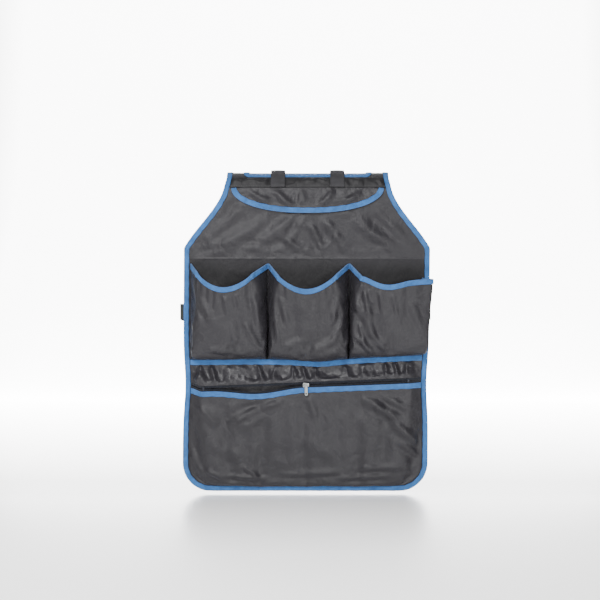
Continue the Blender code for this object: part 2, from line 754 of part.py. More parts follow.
def zip_slider(material):
    """Two plates joined by a post between the coils, with a bail in front for the pull."""
    back = ZIP_STAND - ZIP_TAPE / 2 - SLIDER_ROOM - SLIDER_PLATE
    plate = (SLIDER_LENGTH, SLIDER_PLATE, SLIDER_WIDTH)
    post = (SLIDER_POST_LENGTH, PLATE_FRONT - back - SLIDER_PLATE, SLIDER_POST)
    leg = (BAIL_LEG, BAIL_HEIGHT + BAIL_BAR / 2 + SLIDER_PLATE / 2, BAIL_BAR * 1.3)
    leg_at = SLIDER_LENGTH / 2 - BAIL_LEG / 2 - BAIL_INSET
    shapes = [block(plate, (0, -(PLATE_FRONT - SLIDER_PLATE / 2), 0)),
              block(plate, (0, -(back + SLIDER_PLATE / 2), 0)),
              block(post, (-SLIDER_LENGTH * 0.28, -(PLATE_FRONT + back) / 2, 0))]
    for side in (-1, 1):
        shapes.append(block(leg, (side * leg_at, -(PLATE_FRONT - SLIDER_PLATE / 2 + leg[1] / 2), 0)))
    shapes.append(rod(BAIL_BAR, 2 * leg_at + BAIL_LEG / 3, (0, -BAIL_AT, 0)))
    return joined("zip_slider", shapes, material)


def zip_pull(material):
    """The tab that hangs from the bail by its eye."""
    eye = rod(PULL_EYE, PULL_EYE_WIDTH, (0, -BAIL_AT, 0), 20)
    body_top = PULL_EYE / 2 - PULL_LAP
    body = (PULL_WIDTH, PULL_THICK, PULL_LENGTH - body_top)
    tab = block(body, (0, -BAIL_AT, -(body_top + body[2] / 2)))
    pull = joined("zip_pull", [eye, tab], material)
    hole = pull.modifiers.new("hole", "BOOLEAN")
    hole.operation = "DIFFERENCE"
    hole.solver = "EXACT"
    hole.object = as_helper(rod(PULL_HOLE, 2 * PULL_EYE_WIDTH, (0, -BAIL_AT, 0), 20))
    return pull


def zip_stop(name, side, material):
    """A metal clip over both coils at an end of the slider's travel."""
    off = COIL_FRONT + GAP + STOP_THICK / 2
    spot = side * (ZIP_STRAIGHT - STOP_SIZE / 2)
    stop = block((STOP_SIZE, STOP_THICK, 2 * COIL + COIL_SPLIT), (0, -off, 0), spot)
    stop.location = drape(spot, ZIP_HEIGHT + ZIP_SLOPE * spot, side_fall(spot))
    stop.name = name
    stop.data.name = name
    stop.data.materials.append(material)
    return stop


def seat_strap_path():
    """The elastic's plan from its left end round the back to its right end, as (x, distance back)."""
    back = side_fall(BODY_HALF) + BOUND + GAP + SEAT_STRAP_THICK / 2
    halves = []
    for side, bulge in zip((-1, 1), SEAT_STRAP_BULGE):
        start, reach = BODY_HALF - 0.002, BODY_HALF + bulge
        half = [(BODY_HALF - TAPE_WIDTH, back), (start, back)]
        for a in np.linspace(0, math.pi / 2, 5)[1:]:
            half.append((start + (reach - start) * math.sin(a), back + SEAT_STRAP_TURN * (1 - math.cos(a))))
        level = back + SEAT_STRAP_TURN
        for a in np.linspace(0, math.pi / 2, 9)[1:]:
            half.append((reach * math.cos(a) ** 0.55, level + (SEAT_STRAP_DEPTH - level) * math.sin(a) ** 0.8))
        halves.append([(side * x, y) for x, y in half])
    return halves[0] + halves[1][-2::-1]


def seat_strap(material):
    """The elastic that holds the organizer round the seat."""
    path = seat_strap_path()
    level = path[1][1]

    def place(i, w):
        x, y = path[i]
        droop = SEAT_STRAP_DROOP * smooth((y - level) / (SEAT_STRAP_DEPTH - level))
        lean = HANG_LEAN * (1 - SEAT_STRAP_HEIGHT / BEND_END)
        return Vector((x - lean, y, SEAT_STRAP_HEIGHT + w - droop))

    half = SEAT_STRAP_WIDTH / 2
    return cloth_piece("seat_strap", range(len(path)), [-half, half], place, SEAT_STRAP_THICK, material)


def build():
    nylon = make_material("charcoal_nylon", (0.080, 0.076, 0.086), 0.42)
    tape = make_material("blue_tape", (0.105, 0.270, 0.480), 0.60)
    webbing = make_material("black_webbing", (0.035, 0.035, 0.038), 0.75)
    fastening = make_material("hook_and_loop", (0.020, 0.020, 0.022), 0.90)
    zip_cloth = make_material("zip_cloth", (0.022, 0.026, 0.040), 0.80)
    teeth = make_material("zip_plastic", (0.030, 0.032, 0.040), 0.35)
    metal = make_material("zip_metal", (0.62, 0.62, 0.63), 0.28, 1.0)
    elastic = make_material("black_elastic", (0.020, 0.024, 0.024), 0.80)

    back_panel(nylon)
    binding("outer_binding", outline_path(), lambda x: 0.0, tape, ring=True)
    binding("slot_binding", slot_path(), lambda x: 0.0, tape, ring=True, leg_steps=2)
    top_band(nylon)
    top_flap(nylon)
    binding("flap_binding", flap_path(), lambda x: ON_PANEL, tape)
    for side, centre in (("left", -STRAP_SPACING / 2), ("right", STRAP_SPACING / 2)):
        bridging_strap(side + "_strap", centre, webbing)
        patch(side + "_loop_patch", centre, 0, fastening)
        patch(side + "_hook_patch", centre, 1, fastening)
    for name in POCKETS:
        pocket(name, nylon)
    pocket_binding(tape)
    lower_band(nylon)
    lower_band_binding(tape)
    zip_tape("zip_tape_upper", 1, zip_cloth)
    zip_tape("zip_tape_lower", -1, zip_cloth)
    zip_coil("zip_coil_upper", 1, teeth)
    zip_coil("zip_coil_lower", -1, teeth)
    zip_stop("zip_stop_left", -1, metal)
    zip_stop("zip_stop_right", 1, metal)
    zip_pocket(nylon)
    zip_pocket_binding(tape)
    zip_slider(metal)
    zip_pull(metal)
    seat_strap(elastic)


for old in list(bpy.data.objects):
    bpy.data.objects.remove(old, do_unlink=True)

organizer = bpy.data.collections.new("car_organizer")
cutters = bpy.data.collections.new("helpers")
bpy.context.scene.collection.children.link(organizer)
bpy.context.scene.collection.children.link(cutters)

# The sheet's heights start at the foot. The model's own origin is the middle of the headrest slot.
hanger = bpy.data.objects.new("hanger", None)
slot_middle = (drape(0.0, SLOT_FRONT).y + drape(0.0, SLOT_REAR).y) / 2
hanger.location = (0.0, -slot_middle, -(BEND_START + BEND_RADIUS))
organizer.objects.link(hanger)

build()
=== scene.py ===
"""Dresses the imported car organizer: creased nylon, bound edges, gathered pockets, a toothed zip.

Lengths are in metres. The cloth is described on a flat sheet, as the solids are: x runs across, s up from
the foot, and off is the distance proud of the sheet's front. drape() hangs a point as the solids hang.
"""

import math
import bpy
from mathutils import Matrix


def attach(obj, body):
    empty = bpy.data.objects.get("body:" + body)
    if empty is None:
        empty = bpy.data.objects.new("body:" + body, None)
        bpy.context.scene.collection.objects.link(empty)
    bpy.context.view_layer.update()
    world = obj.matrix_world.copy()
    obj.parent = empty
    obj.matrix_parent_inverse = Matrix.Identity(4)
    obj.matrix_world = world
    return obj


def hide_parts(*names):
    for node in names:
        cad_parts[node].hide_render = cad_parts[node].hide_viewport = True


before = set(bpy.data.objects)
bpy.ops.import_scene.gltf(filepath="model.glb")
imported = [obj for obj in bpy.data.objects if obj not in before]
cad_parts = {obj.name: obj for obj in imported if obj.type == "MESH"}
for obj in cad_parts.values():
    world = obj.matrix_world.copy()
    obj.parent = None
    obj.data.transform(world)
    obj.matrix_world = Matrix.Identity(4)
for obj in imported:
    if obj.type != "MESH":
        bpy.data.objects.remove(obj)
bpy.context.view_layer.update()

import bmesh
import bpy
import numpy as np
from mathutils import Matrix, Vector, noise

bl_info = {
    "name": "Car Seat Organizer",
    "version": (1, 0, 0),
    "blender": (4, 5, 0),
    "location": "View3D > Sidebar > Organizer",
    "description": "Builds the cloth, tapes, zip and straps of a hanging car organizer",
    "category": "Object",
}

# Sizes the solids were made to
CLOTH = 0.0008
TAPE = 0.0006
GAP = 0.0003
TAPE_WIDTH = 0.0092
SEAM_ROOM = 0.0006
BODY_HALF = 0.2220
NECK_SEAM_HALF = 0.1505
NECK_HALF = 0.1460
CORNER_RADIUS = 0.0500
REAR_RADIUS = 0.0140
SHOULDER_LOW = 0.4400
SHOULDER_HIGH = 0.5480
SHOULDER_SLOPE = 0.85
NECK_SLOPE = 0.35
WAIST_PINCH = 0.0040
WAIST_SPREAD = 0.0500
HANG_LEAN = 0.0050
BEND_START = 0.5380
BEND_RADIUS = 0.0380
SIDE_STRIP = 0.0700
SIDE_FALL = 0.0060
REAR_REACH = 0.0520
REAR_DROOP = 0.0075
SLOT_HALF = 0.1060
SLOT_FRONT = 0.5780
SLOT_LENGTH = 0.0380
SLOT_CORNER = 0.0060
BAND_FOOT = 0.5480
FLAP_HALF = 0.1370
FLAP_DROP = 0.0440
FLAP_POWER = 2.3
STRAP_SPACING = 0.1070
STRAP_WIDTH = 0.0255
STRAP_THICK = 0.0010
PATCH_THICK = 0.0007
PATCH_WIDTH = 0.0235
PATCH_LENGTH = 0.0170
DIVIDERS = (-0.0700, 0.0760)
PEAK_HEIGHT = 0.4115
POCKET_DEPTH = 0.0370
POCKET_LOW_DEPTH = 0.0290
POCKET_CROWN = 0.0040
POCKET_HEM = 0.0020
RIM_ROOM = 0.0002
POCKET_FOOT_ROUND = 0.0240
FOOT_SPREAD = 0.30
POCKETS = {
    "pocket_left": {"gussets": (0.0140, 0.0270), "ridges": (0.3970, 0.3940), "scoop": 0.0250,
                    "low_at": 0.47, "scoop_power": 0.8, "end": 0.4115, "flare": 0.0},
    "pocket_middle": {"gussets": (0.0190, 0.0230), "ridges": (0.3900, 0.3930), "scoop": 0.0240,
                      "low_at": 0.50, "scoop_power": 0.85, "end": 0.4115, "flare": 0.0},
    "pocket_right": {"gussets": (0.0200, 0.0060), "ridges": (0.3905, 0.3850), "scoop": 0.0130,
                     "low_at": 0.43, "scoop_power": 1.8, "end": 0.3860, "flare": 0.0220},
}
BAND_EDGE = ((-0.2200, 0.2379), (-0.0200, 0.2376), (0.0250, 0.2350), (0.0700, 0.2390), (0.2200, 0.2470))
ZIP_HEIGHT = 0.1935
ZIP_SLOPE = 0.040
ZIP_STAND = 0.0100
ZIP_END_RUN = 0.0222
ZIP_END_LIFT = 0.0060
ZIP_TAPE = 0.0005
ZIP_TAPE_WIDTH = 0.0080
ZIP_LAP = 0.0005
COIL = 0.0020
COIL_SPLIT = 0.0016
MOUTH_LENGTH = 0.1740
MOUTH_SAG = 0.0080
BAND_CLEAR = 0.0050
POCKET_CLEAR = 0.0049
POCKET_BELLY = 0.0180
SLIDER_LENGTH = 0.0110
SLIDER_WIDTH = 0.0080
SLIDER_PLATE = 0.0010
SLIDER_ROOM = 0.0005
BAIL_HEIGHT = 0.0027
BAIL_BAR = 0.0013
PULL_LENGTH = 0.0190
PULL_WIDTH = 0.0058
PULL_THICK = 0.0013
STOP_SIZE = 0.0030
SEAT_STRAP_HEIGHT = 0.3250
SEAT_STRAP_WIDTH = 0.0280
SEAT_STRAP_THICK = 0.0012
SEAT_STRAP_DEPTH = 0.0700
SEAT_STRAP_DROOP = 0.0100
SEAT_STRAP_BULGE = (0.0070, 0.0030)
SEAT_STRAP_TURN = 0.0120

BEND_END = BEND_START + BEND_RADIUS * math.pi / 2
SLOT_REAR = SLOT_FRONT + SLOT_LENGTH
REAR_EDGE = BEND_END + REAR_REACH
FOLD = CLOTH / 2 + GAP + TAPE / 2
BOUND = FOLD + TAPE / 2
EDGE_ROOM = TAPE / 2 + GAP
LAYER_ONE = CLOTH + GAP
ON_PANEL = CLOTH / 2 + GAP + BOUND
TUCK = TAPE_WIDTH + SEAM_ROOM
BAND_OFF = ON_PANEL + CLOTH + GAP
SIDE_FLAT = BODY_HALF - SIDE_STRIP
ZIP_SIDES = BODY_HALF - WAIST_PINCH - TUCK
ZIP_STRAIGHT = ZIP_SIDES - ZIP_END_RUN
COIL_FRONT = ZIP_STAND + ZIP_TAPE / 2 + GAP + COIL
PLATE_FRONT = COIL_FRONT + SLIDER_ROOM + SLIDER_PLATE
BAIL_AT = PLATE_FRONT + BAIL_HEIGHT


def cad_shift():
    """From the sheet's frame, whose heights start at the foot, to the model's, which starts at the slot."""
    front = BEND_RADIUS * (1 - math.cos((SLOT_FRONT - BEND_START) / BEND_RADIUS))
    rear = BEND_RADIUS + SLOT_REAR - BEND_END
    return np.array([0.0, -(front + rear) / 2, -(BEND_START + BEND_RADIUS)])


SHIFT = cad_shift()


# How the sheet is shaped and hung

def smooth(value):
    """An S-shaped step from 0 to 1."""
    t = min(max(value, 0.0), 1.0)
    return t * t * (3 - 2 * t)


def smooth_all(values):
    """The step of smooth() over an array."""
    t = np.clip(values, 0.0, 1.0)
    return t * t * (3 - 2 * t)


def quarter_round(value):
    """Rises from 0 to 1 as a quarter of a circle does."""
    t = min(max(value, 0.0), 1.0)
    return math.sqrt(t * (2 - t))


def curve_through(points, x):
    """A smooth curve through (x, height) points."""
    xs = [p[0] for p in points]
    ys = [p[1] for p in points]
    x = min(max(x, xs[0]), xs[-1])
    slopes = np.gradient(ys, xs)
    i = min(int(np.searchsorted(xs, x, side="right")) - 1, len(xs) - 2)
    span = xs[i + 1] - xs[i]
    t = (x - xs[i]) / span
    return ((2 * t**3 - 3 * t**2 + 1) * ys[i] + (t**3 - 2 * t**2 + t) * span * slopes[i]
            + (3 * t**2 - 2 * t**3) * ys[i + 1] + (t**3 - t**2) * span * slopes[i + 1])


def side_line(s):
    """Half the panel's width at height s, without the rounding of its corners."""
    if s < SHOULDER_LOW:
        return BODY_HALF - WAIST_PINCH * math.exp(-(((s - ZIP_HEIGHT) / WAIST_SPREAD) ** 2))
    if s < SHOULDER_HIGH:
        t = (s - SHOULDER_LOW) / (SHOULDER_HIGH - SHOULDER_LOW)
        share = ((2 * t**3 - 3 * t**2 + 1) - SHOULDER_SLOPE * (t**3 - 2 * t**2 + t)
                 - NECK_SLOPE * (t**3 - t**2))
        return NECK_SEAM_HALF + (BODY_HALF - NECK_SEAM_HALF) * share
    t = min((s - SHOULDER_HIGH) / (SLOT_FRONT - TAPE_WIDTH - SHOULDER_HIGH), 1.0)
    return NECK_SEAM_HALF + (NECK_HALF - NECK_SEAM_HALF) * t


def half_width(s, inset=0.0):
    """Half the panel's width at height s, measured inset inside its bound edge."""
    step = 0.0005
    slope = (side_line(s + step) - side_line(s - step)) / (2 * step)
    if s < CORNER_RADIUS:
        reach = max((CORNER_RADIUS - inset) ** 2 - (CORNER_RADIUS - s) ** 2, 0.0)
        return side_line(CORNER_RADIUS) - CORNER_RADIUS + math.sqrt(reach)
    if s > REAR_EDGE - REAR_RADIUS:
        reach = max((REAR_RADIUS - inset) ** 2 - (s - REAR_EDGE + REAR_RADIUS) ** 2, 0.0)
        return NECK_HALF - REAR_RADIUS + math.sqrt(reach)
    return side_line(s) - inset * math.sqrt(1 + slope * slope)


def side_fall(x):
    """How far the sheet falls back towards its sides."""
    return SIDE_FALL * (max(abs(x) - SIDE_FLAT, 0.0) / SIDE_STRIP) ** 2


def drape(x, s, off=0.0):
    """The point of the hanging organizer, in the model's frame, for a point of the sheet."""
    y = side_fall(x)
    x -= HANG_LEAN * max(1 - s / BEND_END, 0.0)
    if s <= BEND_START:
        spot = (x, y - off, s)
    elif s >= BEND_END:
        droop = REAR_DROOP * ((s - BEND_END) / REAR_REACH) ** 2
        spot = (x, y + BEND_RADIUS + s - BEND_END, BEND_START + BEND_RADIUS + off - droop)
    else:
        turn = (s - BEND_START) / BEND_RADIUS
        reach = BEND_RADIUS + off
        spot = (x, y + BEND_RADIUS - reach * math.cos(turn), BEND_START + reach * math.sin(turn))
    return np.array(spot) + SHIFT


def flap_share(turn):
    """The share of the flap's half width reached at a turn round its edge, from its left end."""
    return math.copysign(abs(math.cos(turn)) ** (2 / FLAP_POWER), -math.cos(turn))


def band_edge(x):
    """Height of the lower band's bound top edge."""
    return curve_through(BAND_EDGE, x)


def pocket_seams(name):
    """The x of a pocket's two seams: on a divider, or just inside the panel's binding."""
    outer = BODY_HALF - TUCK - BOUND
    seams = (-outer, *DIVIDERS, outer)
    k = list(POCKETS).index(name)
    return seams[k], seams[k + 1]


def rim_height(name, u):
    """Height of a pocket's rim. u is 0 to 1 in the left gusset, 1 to 2 in front, 2 to 3 in the right one."""
    shape = POCKETS[name]
    left_ridge, right_ridge = shape["ridges"]
    if u < 1:
        return PEAK_HEIGHT + (left_ridge - PEAK_HEIGHT) * u
    if u > 2:
        return right_ridge + (shape["end"] - right_ridge) * (u - 2)
    f = u - 1
    bend = math.log(0.5) / math.log(shape["low_at"])
    dip = math.sin(math.pi * f**bend) ** shape["scoop_power"] if 0 < f < 1 else 0.0
    return left_ridge + (right_ridge - left_ridge) * f - shape["scoop"] * dip


def pocket_x(name, u, spread):
    """The x of a column of a pocket, its gussets folded together by spread."""
    left, right = pocket_seams(name)
    if u <= 0:
        return left + POCKET_HEM * (1 + u)
    if u >= 3:
        return right - POCKET_HEM * (4 - u)
    gussets = [g * spread for g in POCKETS[name]["gussets"]]
    ridges = (left + POCKET_HEM + gussets[0], right - POCKET_HEM - gussets[1])
    if u < 1:
        return left + POCKET_HEM + gussets[0] * u
    if u > 2:
        return ridges[1] + gussets[1] * (u - 2)
    return ridges[0] + (ridges[1] - ridges[0]) * (u - 1)


def pocket_foot(name, u):
    """Height of a pocket's sewn foot, just over the lower band's tape."""
    return band_edge(pocket_x(name, u, FOOT_SPREAD)) + SEAM_ROOM


def pocket_point(name, u, drop):
    """(x, s, off) of a pocket's cloth, drop below its rim. u goes on past 0 and 3 into the flat hems."""
    rim = rim_height(name, min(max(u, 0.0), 3.0))
    foot = pocket_foot(name, u)
    s = rim - drop
    v = (s - foot) / (rim - foot)
    x = pocket_x(name, u, FOOT_SPREAD + (1 - FOOT_SPREAD) * smooth(v))
    seam_off = LAYER_ONE + (ON_PANEL + RIM_ROOM - LAYER_ONE) * smooth((v - 0.78) / 0.12)
    depth = POCKET_LOW_DEPTH + (POCKET_DEPTH - POCKET_LOW_DEPTH) * v
    depth *= quarter_round((s - foot) / POCKET_FOOT_ROUND)
    t = min(max(u, 0.0), max(3.0 - u, 0.0), 1.0)
    share = 0.5 * t + 0.5 * math.sin(math.pi / 2 * t)
    crown = POCKET_CROWN / POCKET_DEPTH * math.sin(math.pi * (u - 1)) if 1 < u < 2 else 0.0
    off = seam_off + depth * (share + crown)
    flare = POCKETS[name]["flare"] * smooth((u - 1.75) / 0.25) * share * min(off / POCKET_DEPTH, 1.0)
    return x + flare * (0.62 + 0.38 * smooth(v)), s, off


def zip_line(x):
    """Height of the zip's middle line: straight under the slider's travel, lifted at its left end."""
    return ZIP_HEIGHT + ZIP_SLOPE * x + ZIP_END_LIFT * smooth((-x - ZIP_STRAIGHT) / ZIP_END_RUN)


def zip_off(x):
    """How far the zip stands off the panel: level under the travel, down to the panel at its ends."""
    level = ZIP_STAND + side_fall(x)
    return level + (ON_PANEL - level) * smooth((abs(x) - ZIP_STRAIGHT) / ZIP_END_RUN)


def mouth_sag(x):
    """How far the open side of the zip hangs below its middle line, left of the slider."""
    t = (x + MOUTH_LENGTH) / MOUTH_LENGTH
    return MOUTH_SAG * math.sin(math.pi * t) ** 2 if 0 < t < 1 else 0.0


def zip_pocket_edge(x):
    """Height of the zip pocket's bound top edge."""
    return zip_line(x) - POCKET_CLEAR - mouth_sag(x)


def zip_pocket_off(x, s):
    """How far the zip pocket's cloth stands off the panel."""
    top = zip_pocket_edge(x)
    t = min(max((s - TUCK) / (top - TUCK), 0.0), 1.0)
    edge = zip_off(x) + ZIP_TAPE / 2 + ZIP_LAP + BOUND
    across = 1 - min(abs(x) / half_width(max(s, TUCK), TUCK), 1.0) ** 8
    belly = POCKET_BELLY * quarter_round(t / 0.45) * across + LAYER_ONE
    flat_from = 1 - 1.3 * TAPE_WIDTH / (top - TUCK)
    return belly + (edge - belly) * smooth((t - 0.45) / (flat_from - 0.45))


# Meshes, settling and Geometry Nodes

def placed(name, data):
    """A new object in the scene."""
    obj = bpy.data.objects.new(name, data)
    bpy.context.scene.collection.objects.link(obj)
    return obj


def add_mesh(name, points, faces, material, uv=None):
    """A smooth mesh object at the origin, with an optional cloth UV for each point, in metres."""
    mesh = bpy.data.meshes.new(name)
    mesh.from_pydata([tuple(p) for p in points], [], faces)
    if uv is not None:
        layer = mesh.uv_layers.new(name="cloth")
        index = np.empty(len(mesh.loops), dtype=np.int32)
        mesh.loops.foreach_get("vertex_index", index)
        layer.data.foreach_set("uv", np.asarray(uv, dtype=np.float32)[index].ravel())
    mesh.materials.append(material)
    mesh.shade_smooth()
    return placed(name, mesh)


def settle(obj, held, fullness, frames, gravity, pressure, reach, behind):
    """Lets cloth hang from its held points with a little spare fullness, and keeps the result in its mesh.

    No point moves further than reach, or further back than behind gives for it.
    """
    start = np.array([v.co[:] for v in obj.data.vertices])
    sewn = obj.vertex_groups.new(name="sewn")
    for i, weight in enumerate(held):
        if weight > 0:
            sewn.add([i], float(weight), "REPLACE")
    cloth = obj.modifiers.new("settle", "CLOTH")
    rules = cloth.settings
    rules.quality = 7
    rules.mass = 0.12
    rules.tension_stiffness = 20
    rules.compression_stiffness = 20
    rules.shear_stiffness = 8
    rules.bending_stiffness = 8.0
    rules.tension_damping = rules.compression_damping = rules.shear_damping = 8
    rules.air_damping = 2
    rules.vertex_group_mass = "sewn"
    rules.shrink_min = -fullness
    rules.effector_weights.gravity = gravity
    rules.use_pressure = True
    rules.uniform_pressure_force = pressure
    cloth.collision_settings.use_collision = False
    cloth.point_cache.frame_start = 1
    cloth.point_cache.frame_end = frames
    for step in range(1, frames + 1):
        bpy.context.scene.frame_set(step)
    hung = obj.evaluated_get(bpy.context.evaluated_depsgraph_get()).data
    moved = np.array([v.co[:] for v in hung.vertices])
    obj.modifiers.remove(cloth)
    bpy.context.scene.frame_set(1)
    shift = moved - start
    far = np.linalg.norm(shift, axis=1, keepdims=True)
    moved = start + shift * np.minimum(1.0, reach / np.maximum(far, 1e-9))
    moved[:, 1] = np.minimum(moved[:, 1], behind)
    obj.data.vertices.foreach_set("co", moved.astype(np.float32).ravel())
    obj.data.update()
    obj.vertex_groups.clear()


def thicken(obj, thickness):
    """Gives a sheet its thickness, half of it to each side."""
    shell = obj.modifiers.new("thickness", "SOLIDIFY")
    shell.thickness = thickness
    shell.offset = 0.0
    return obj


def keep_modifiers(obj):
    """Keeps the result of an object's modifiers in its mesh."""
    graph = bpy.context.evaluated_depsgraph_get()
    mesh = bpy.data.meshes.new_from_object(obj.evaluated_get(graph))
    obj.modifiers.clear()
    old = obj.data
    obj.data = mesh
    bpy.data.meshes.remove(old)
    mesh.name = obj.name
    mesh.shade_smooth()
    return mesh


def stands_for(obj, solid, body="organizer"):
    """Says which body a piece moves with and which solid it takes the place of."""
    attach(obj, body)
    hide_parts(solid)


def repeat_tree(name, sizes):
    """A Geometry Nodes tree that sets small rounded blocks along a run of edges."""
    tree = bpy.data.node_groups.new(name, "GeometryNodeTree")
    tree.interface.new_socket("Path", in_out="INPUT", socket_type="NodeSocketGeometry")
    for label, value in sizes.items():
        socket = tree.interface.new_socket(label, in_out="INPUT", socket_type="NodeSocketFloat")
        socket.subtype = "DISTANCE"
        socket.default_value = value
    tree.interface.new_socket("Finish", in_out="INPUT", socket_type="NodeSocketMaterial")
    tree.interface.new_socket("Pieces", in_out="OUTPUT", socket_type="NodeSocketGeometry")
    node = tree.nodes.new
    given, result = node("NodeGroupInput"), node("NodeGroupOutput")
    line, evenly = node("GeometryNodeMeshToCurve"), node("GeometryNodeResampleCurve")
    evenly.mode = "LENGTH"
    size, block = node("ShaderNodeCombineXYZ"), node("GeometryNodeMeshCube")
    rounded, put = node("GeometryNodeSubdivisionSurface"), node("GeometryNodeInstanceOnPoints")
    rounded.inputs["Level"].default_value = 1
    tangent, turn = node("GeometryNodeInputTangent"), node("FunctionNodeAlignRotationToVector")
    turn.axis = "X"
    real, soft, finish = (node("GeometryNodeRealizeInstances"), node("GeometryNodeSetShadeSmooth"),
                          node("GeometryNodeSetMaterial"))
    for source, out, target, into in (
            (given, "Path", line, "Mesh"), (line, "Curve", evenly, "Curve"),
            (given, "Spacing", evenly, "Length"), (given, "Length", size, "X"),
            (given, "Thickness", size, "Y"), (given, "Width", size, "Z"),
            (size, "Vector", block, "Size"), (block, "Mesh", rounded, "Mesh"),
            (evenly, "Curve", put, "Points"), (rounded, "Mesh", put, "Instance"),
            (tangent, "Tangent", turn, "Vector"), (turn, "Rotation", put, "Rotation"),
            (put, "Instances", real, "Geometry"),
            (real, "Geometry", soft, "Geometry"), (soft, "Geometry", finish, "Geometry"),
            (given, "Finish", finish, "Material"), (finish, "Geometry", result, "Pieces")):
        tree.links.new(source.outputs[out], target.inputs[into])
    return tree


def repeat_along(name, paths, sizes, material):
    """One mesh of small blocks set along paths, made by a Geometry Nodes tree."""
    points, edges = [], []
    for path in paths:
        first = len(points)
        points += [tuple(p) for p in path]
        edges += [(first + i, first + i + 1) for i in range(len(path) - 1)]
    guide_mesh = bpy.data.meshes.new(name + "_path")
    guide_mesh.from_pydata(points, edges, [])
    guide = placed(name + "_path", guide_mesh)
    tree = repeat_tree(name, sizes)
    run = guide.modifiers.new("run", "NODES")
    run.node_group = tree
    for item in tree.interface.items_tree:
        if item.in_out == "INPUT" and item.name in sizes:
            run[item.identifier] = sizes[item.name]
        if item.in_out == "INPUT" and item.name == "Finish":
            run[item.identifier] = material
    graph = bpy.context.evaluated_depsgraph_get()
    mesh = bpy.data.meshes.new_from_object(guide.evaluated_get(graph))
    mesh.name = name
    if not mesh.materials:
        mesh.materials.append(material)
    obj = placed(name, mesh)
    bpy.data.objects.remove(guide, do_unlink=True)
    bpy.data.meshes.remove(guide_mesh)
    return obj


def tube(name, rings, material, turns, closed=False):
    """A tube through rings of (centre, a, b), capped at its ends unless it closes on itself."""
    points = []
    for centre, a, b in rings:
        for k in range(turns):
            angle = 2 * math.pi * k / turns
            points.append(np.array(centre) + np.array(a) * math.cos(angle) + np.array(b) * math.sin(angle))
    count = len(rings)
    faces = []
    for j in range(count if closed else count - 1):
        m = (j + 1) % count
        for k in range(turns):
            n = (k + 1) % turns
            faces.append((j * turns + k, j * turns + n, m * turns + n, m * turns + k))
    if not closed:
        faces.append(tuple(reversed(range(turns))))
        faces.append(tuple((count - 1) * turns + k for k in range(turns)))
    return add_mesh(name, points, faces, material)


def mend_normals(obj):
    """Turns every face outwards."""
    body = bmesh.new()
    body.from_mesh(obj.data)
    bmesh.ops.remove_doubles(body, verts=body.verts, dist=1e-7)
    bmesh.ops.recalc_face_normals(body, faces=body.faces)
    body.to_mesh(obj.data)
    body.free()
    return obj


def merge(name, parts):
    """Joins pieces of one solid material into one object."""
    points, faces, materials, slots = [], [], [], []
    for part in parts:
        first = len(points)
        points += [tuple(v.co) for v in part.data.vertices]
        faces += [tuple(first + i for i in p.vertices) for p in part.data.polygons]
        if part.data.materials[0] not in materials:
            materials.append(part.data.materials[0])
        slots += [materials.index(part.data.materials[0])] * len(part.data.polygons)
    obj = add_mesh(name, points, faces, materials[0])
    for extra in materials[1:]:
        obj.data.materials.append(extra)
    obj.data.polygons.foreach_set("material_index", slots)
    for part in parts:
        bpy.data.objects.remove(part, do_unlink=True)
    return obj


# Folds, pressed into the cloth where it is free to move

# A fold's valley: its depth as a share of the fold, and its distance in fold widths
FOLD_VALLEY = 0.45
VALLEY_AWAY = 1.7


def folds(x, s, lines):
    """Height of soft folds along lines of (x0, s0, x1, s1, width, height), each with a valley beside it."""
    total = np.zeros_like(x)
    for x0, s0, x1, s1, width, height in lines:
        dx, ds = x1 - x0, s1 - s0
        length = math.hypot(dx, ds)
        t = ((x - x0) * dx + (s - s0) * ds) / length**2
        d = ((s - s0) * dx - (x - x0) * ds) / length
        taper = smooth_all(np.minimum(t, 1 - t) / 0.3)
        valley = FOLD_VALLEY * np.exp(-((d + VALLEY_AWAY * width) / width) ** 2)
        total += height * taper * (np.exp(-(d / width) ** 2) - valley)
    return total


def crumples(points, size, seed, stretch=(1.0, 1.0, 1.0)):
    """Ridged noise at each point, from about -1 to 1, with its ridges about size apart."""
    out = np.empty(len(points))
    sx, sy, sz = (1 / (size * k) for k in stretch)
    for i, (x, y, z) in enumerate(points):
        first = noise.noise(Vector((x * sx + seed, y * sy, z * sz)))
        second = noise.noise(Vector((x * sx * 2.1, y * sy * 2.1 + seed, z * sz * 2.1)))
        out[i] = 0.7 - 2.0 * abs(first) - 0.8 * abs(second)
    return out


def cloth_points(obj):
    """(points, normals, freedom) of a cloth's points."""
    mesh = obj.data
    count = len(mesh.vertices)
    points = np.empty(count * 3, dtype=np.float32)
    normals = np.empty(count * 3, dtype=np.float32)
    free = np.ones(count, dtype=np.float32)
    mesh.vertices.foreach_get("co", points)
    mesh.vertices.foreach_get("normal", normals)
    if "free" in mesh.attributes:
        mesh.attributes["free"].data.foreach_get("value", free)
    return points.reshape(-1, 3).astype(float), normals.reshape(-1, 3).astype(float), free.astype(float)


def set_free(obj, free):
    """Keeps how free each point of a cloth is, from 0 where it is sewn to 1."""
    layer = obj.data.attributes.new("free", "FLOAT", "POINT")
    layer.data.foreach_set("value", np.asarray(free, dtype=np.float32))


def refine(obj):
    """Rounds a cloth by one subdivision, kept in its mesh."""
    rounding = obj.modifiers.new("rounding", "SUBSURF")
    rounding.levels = rounding.render_levels = 1
    rounding.boundary_smooth = "PRESERVE_CORNERS"
    keep_modifiers(obj)


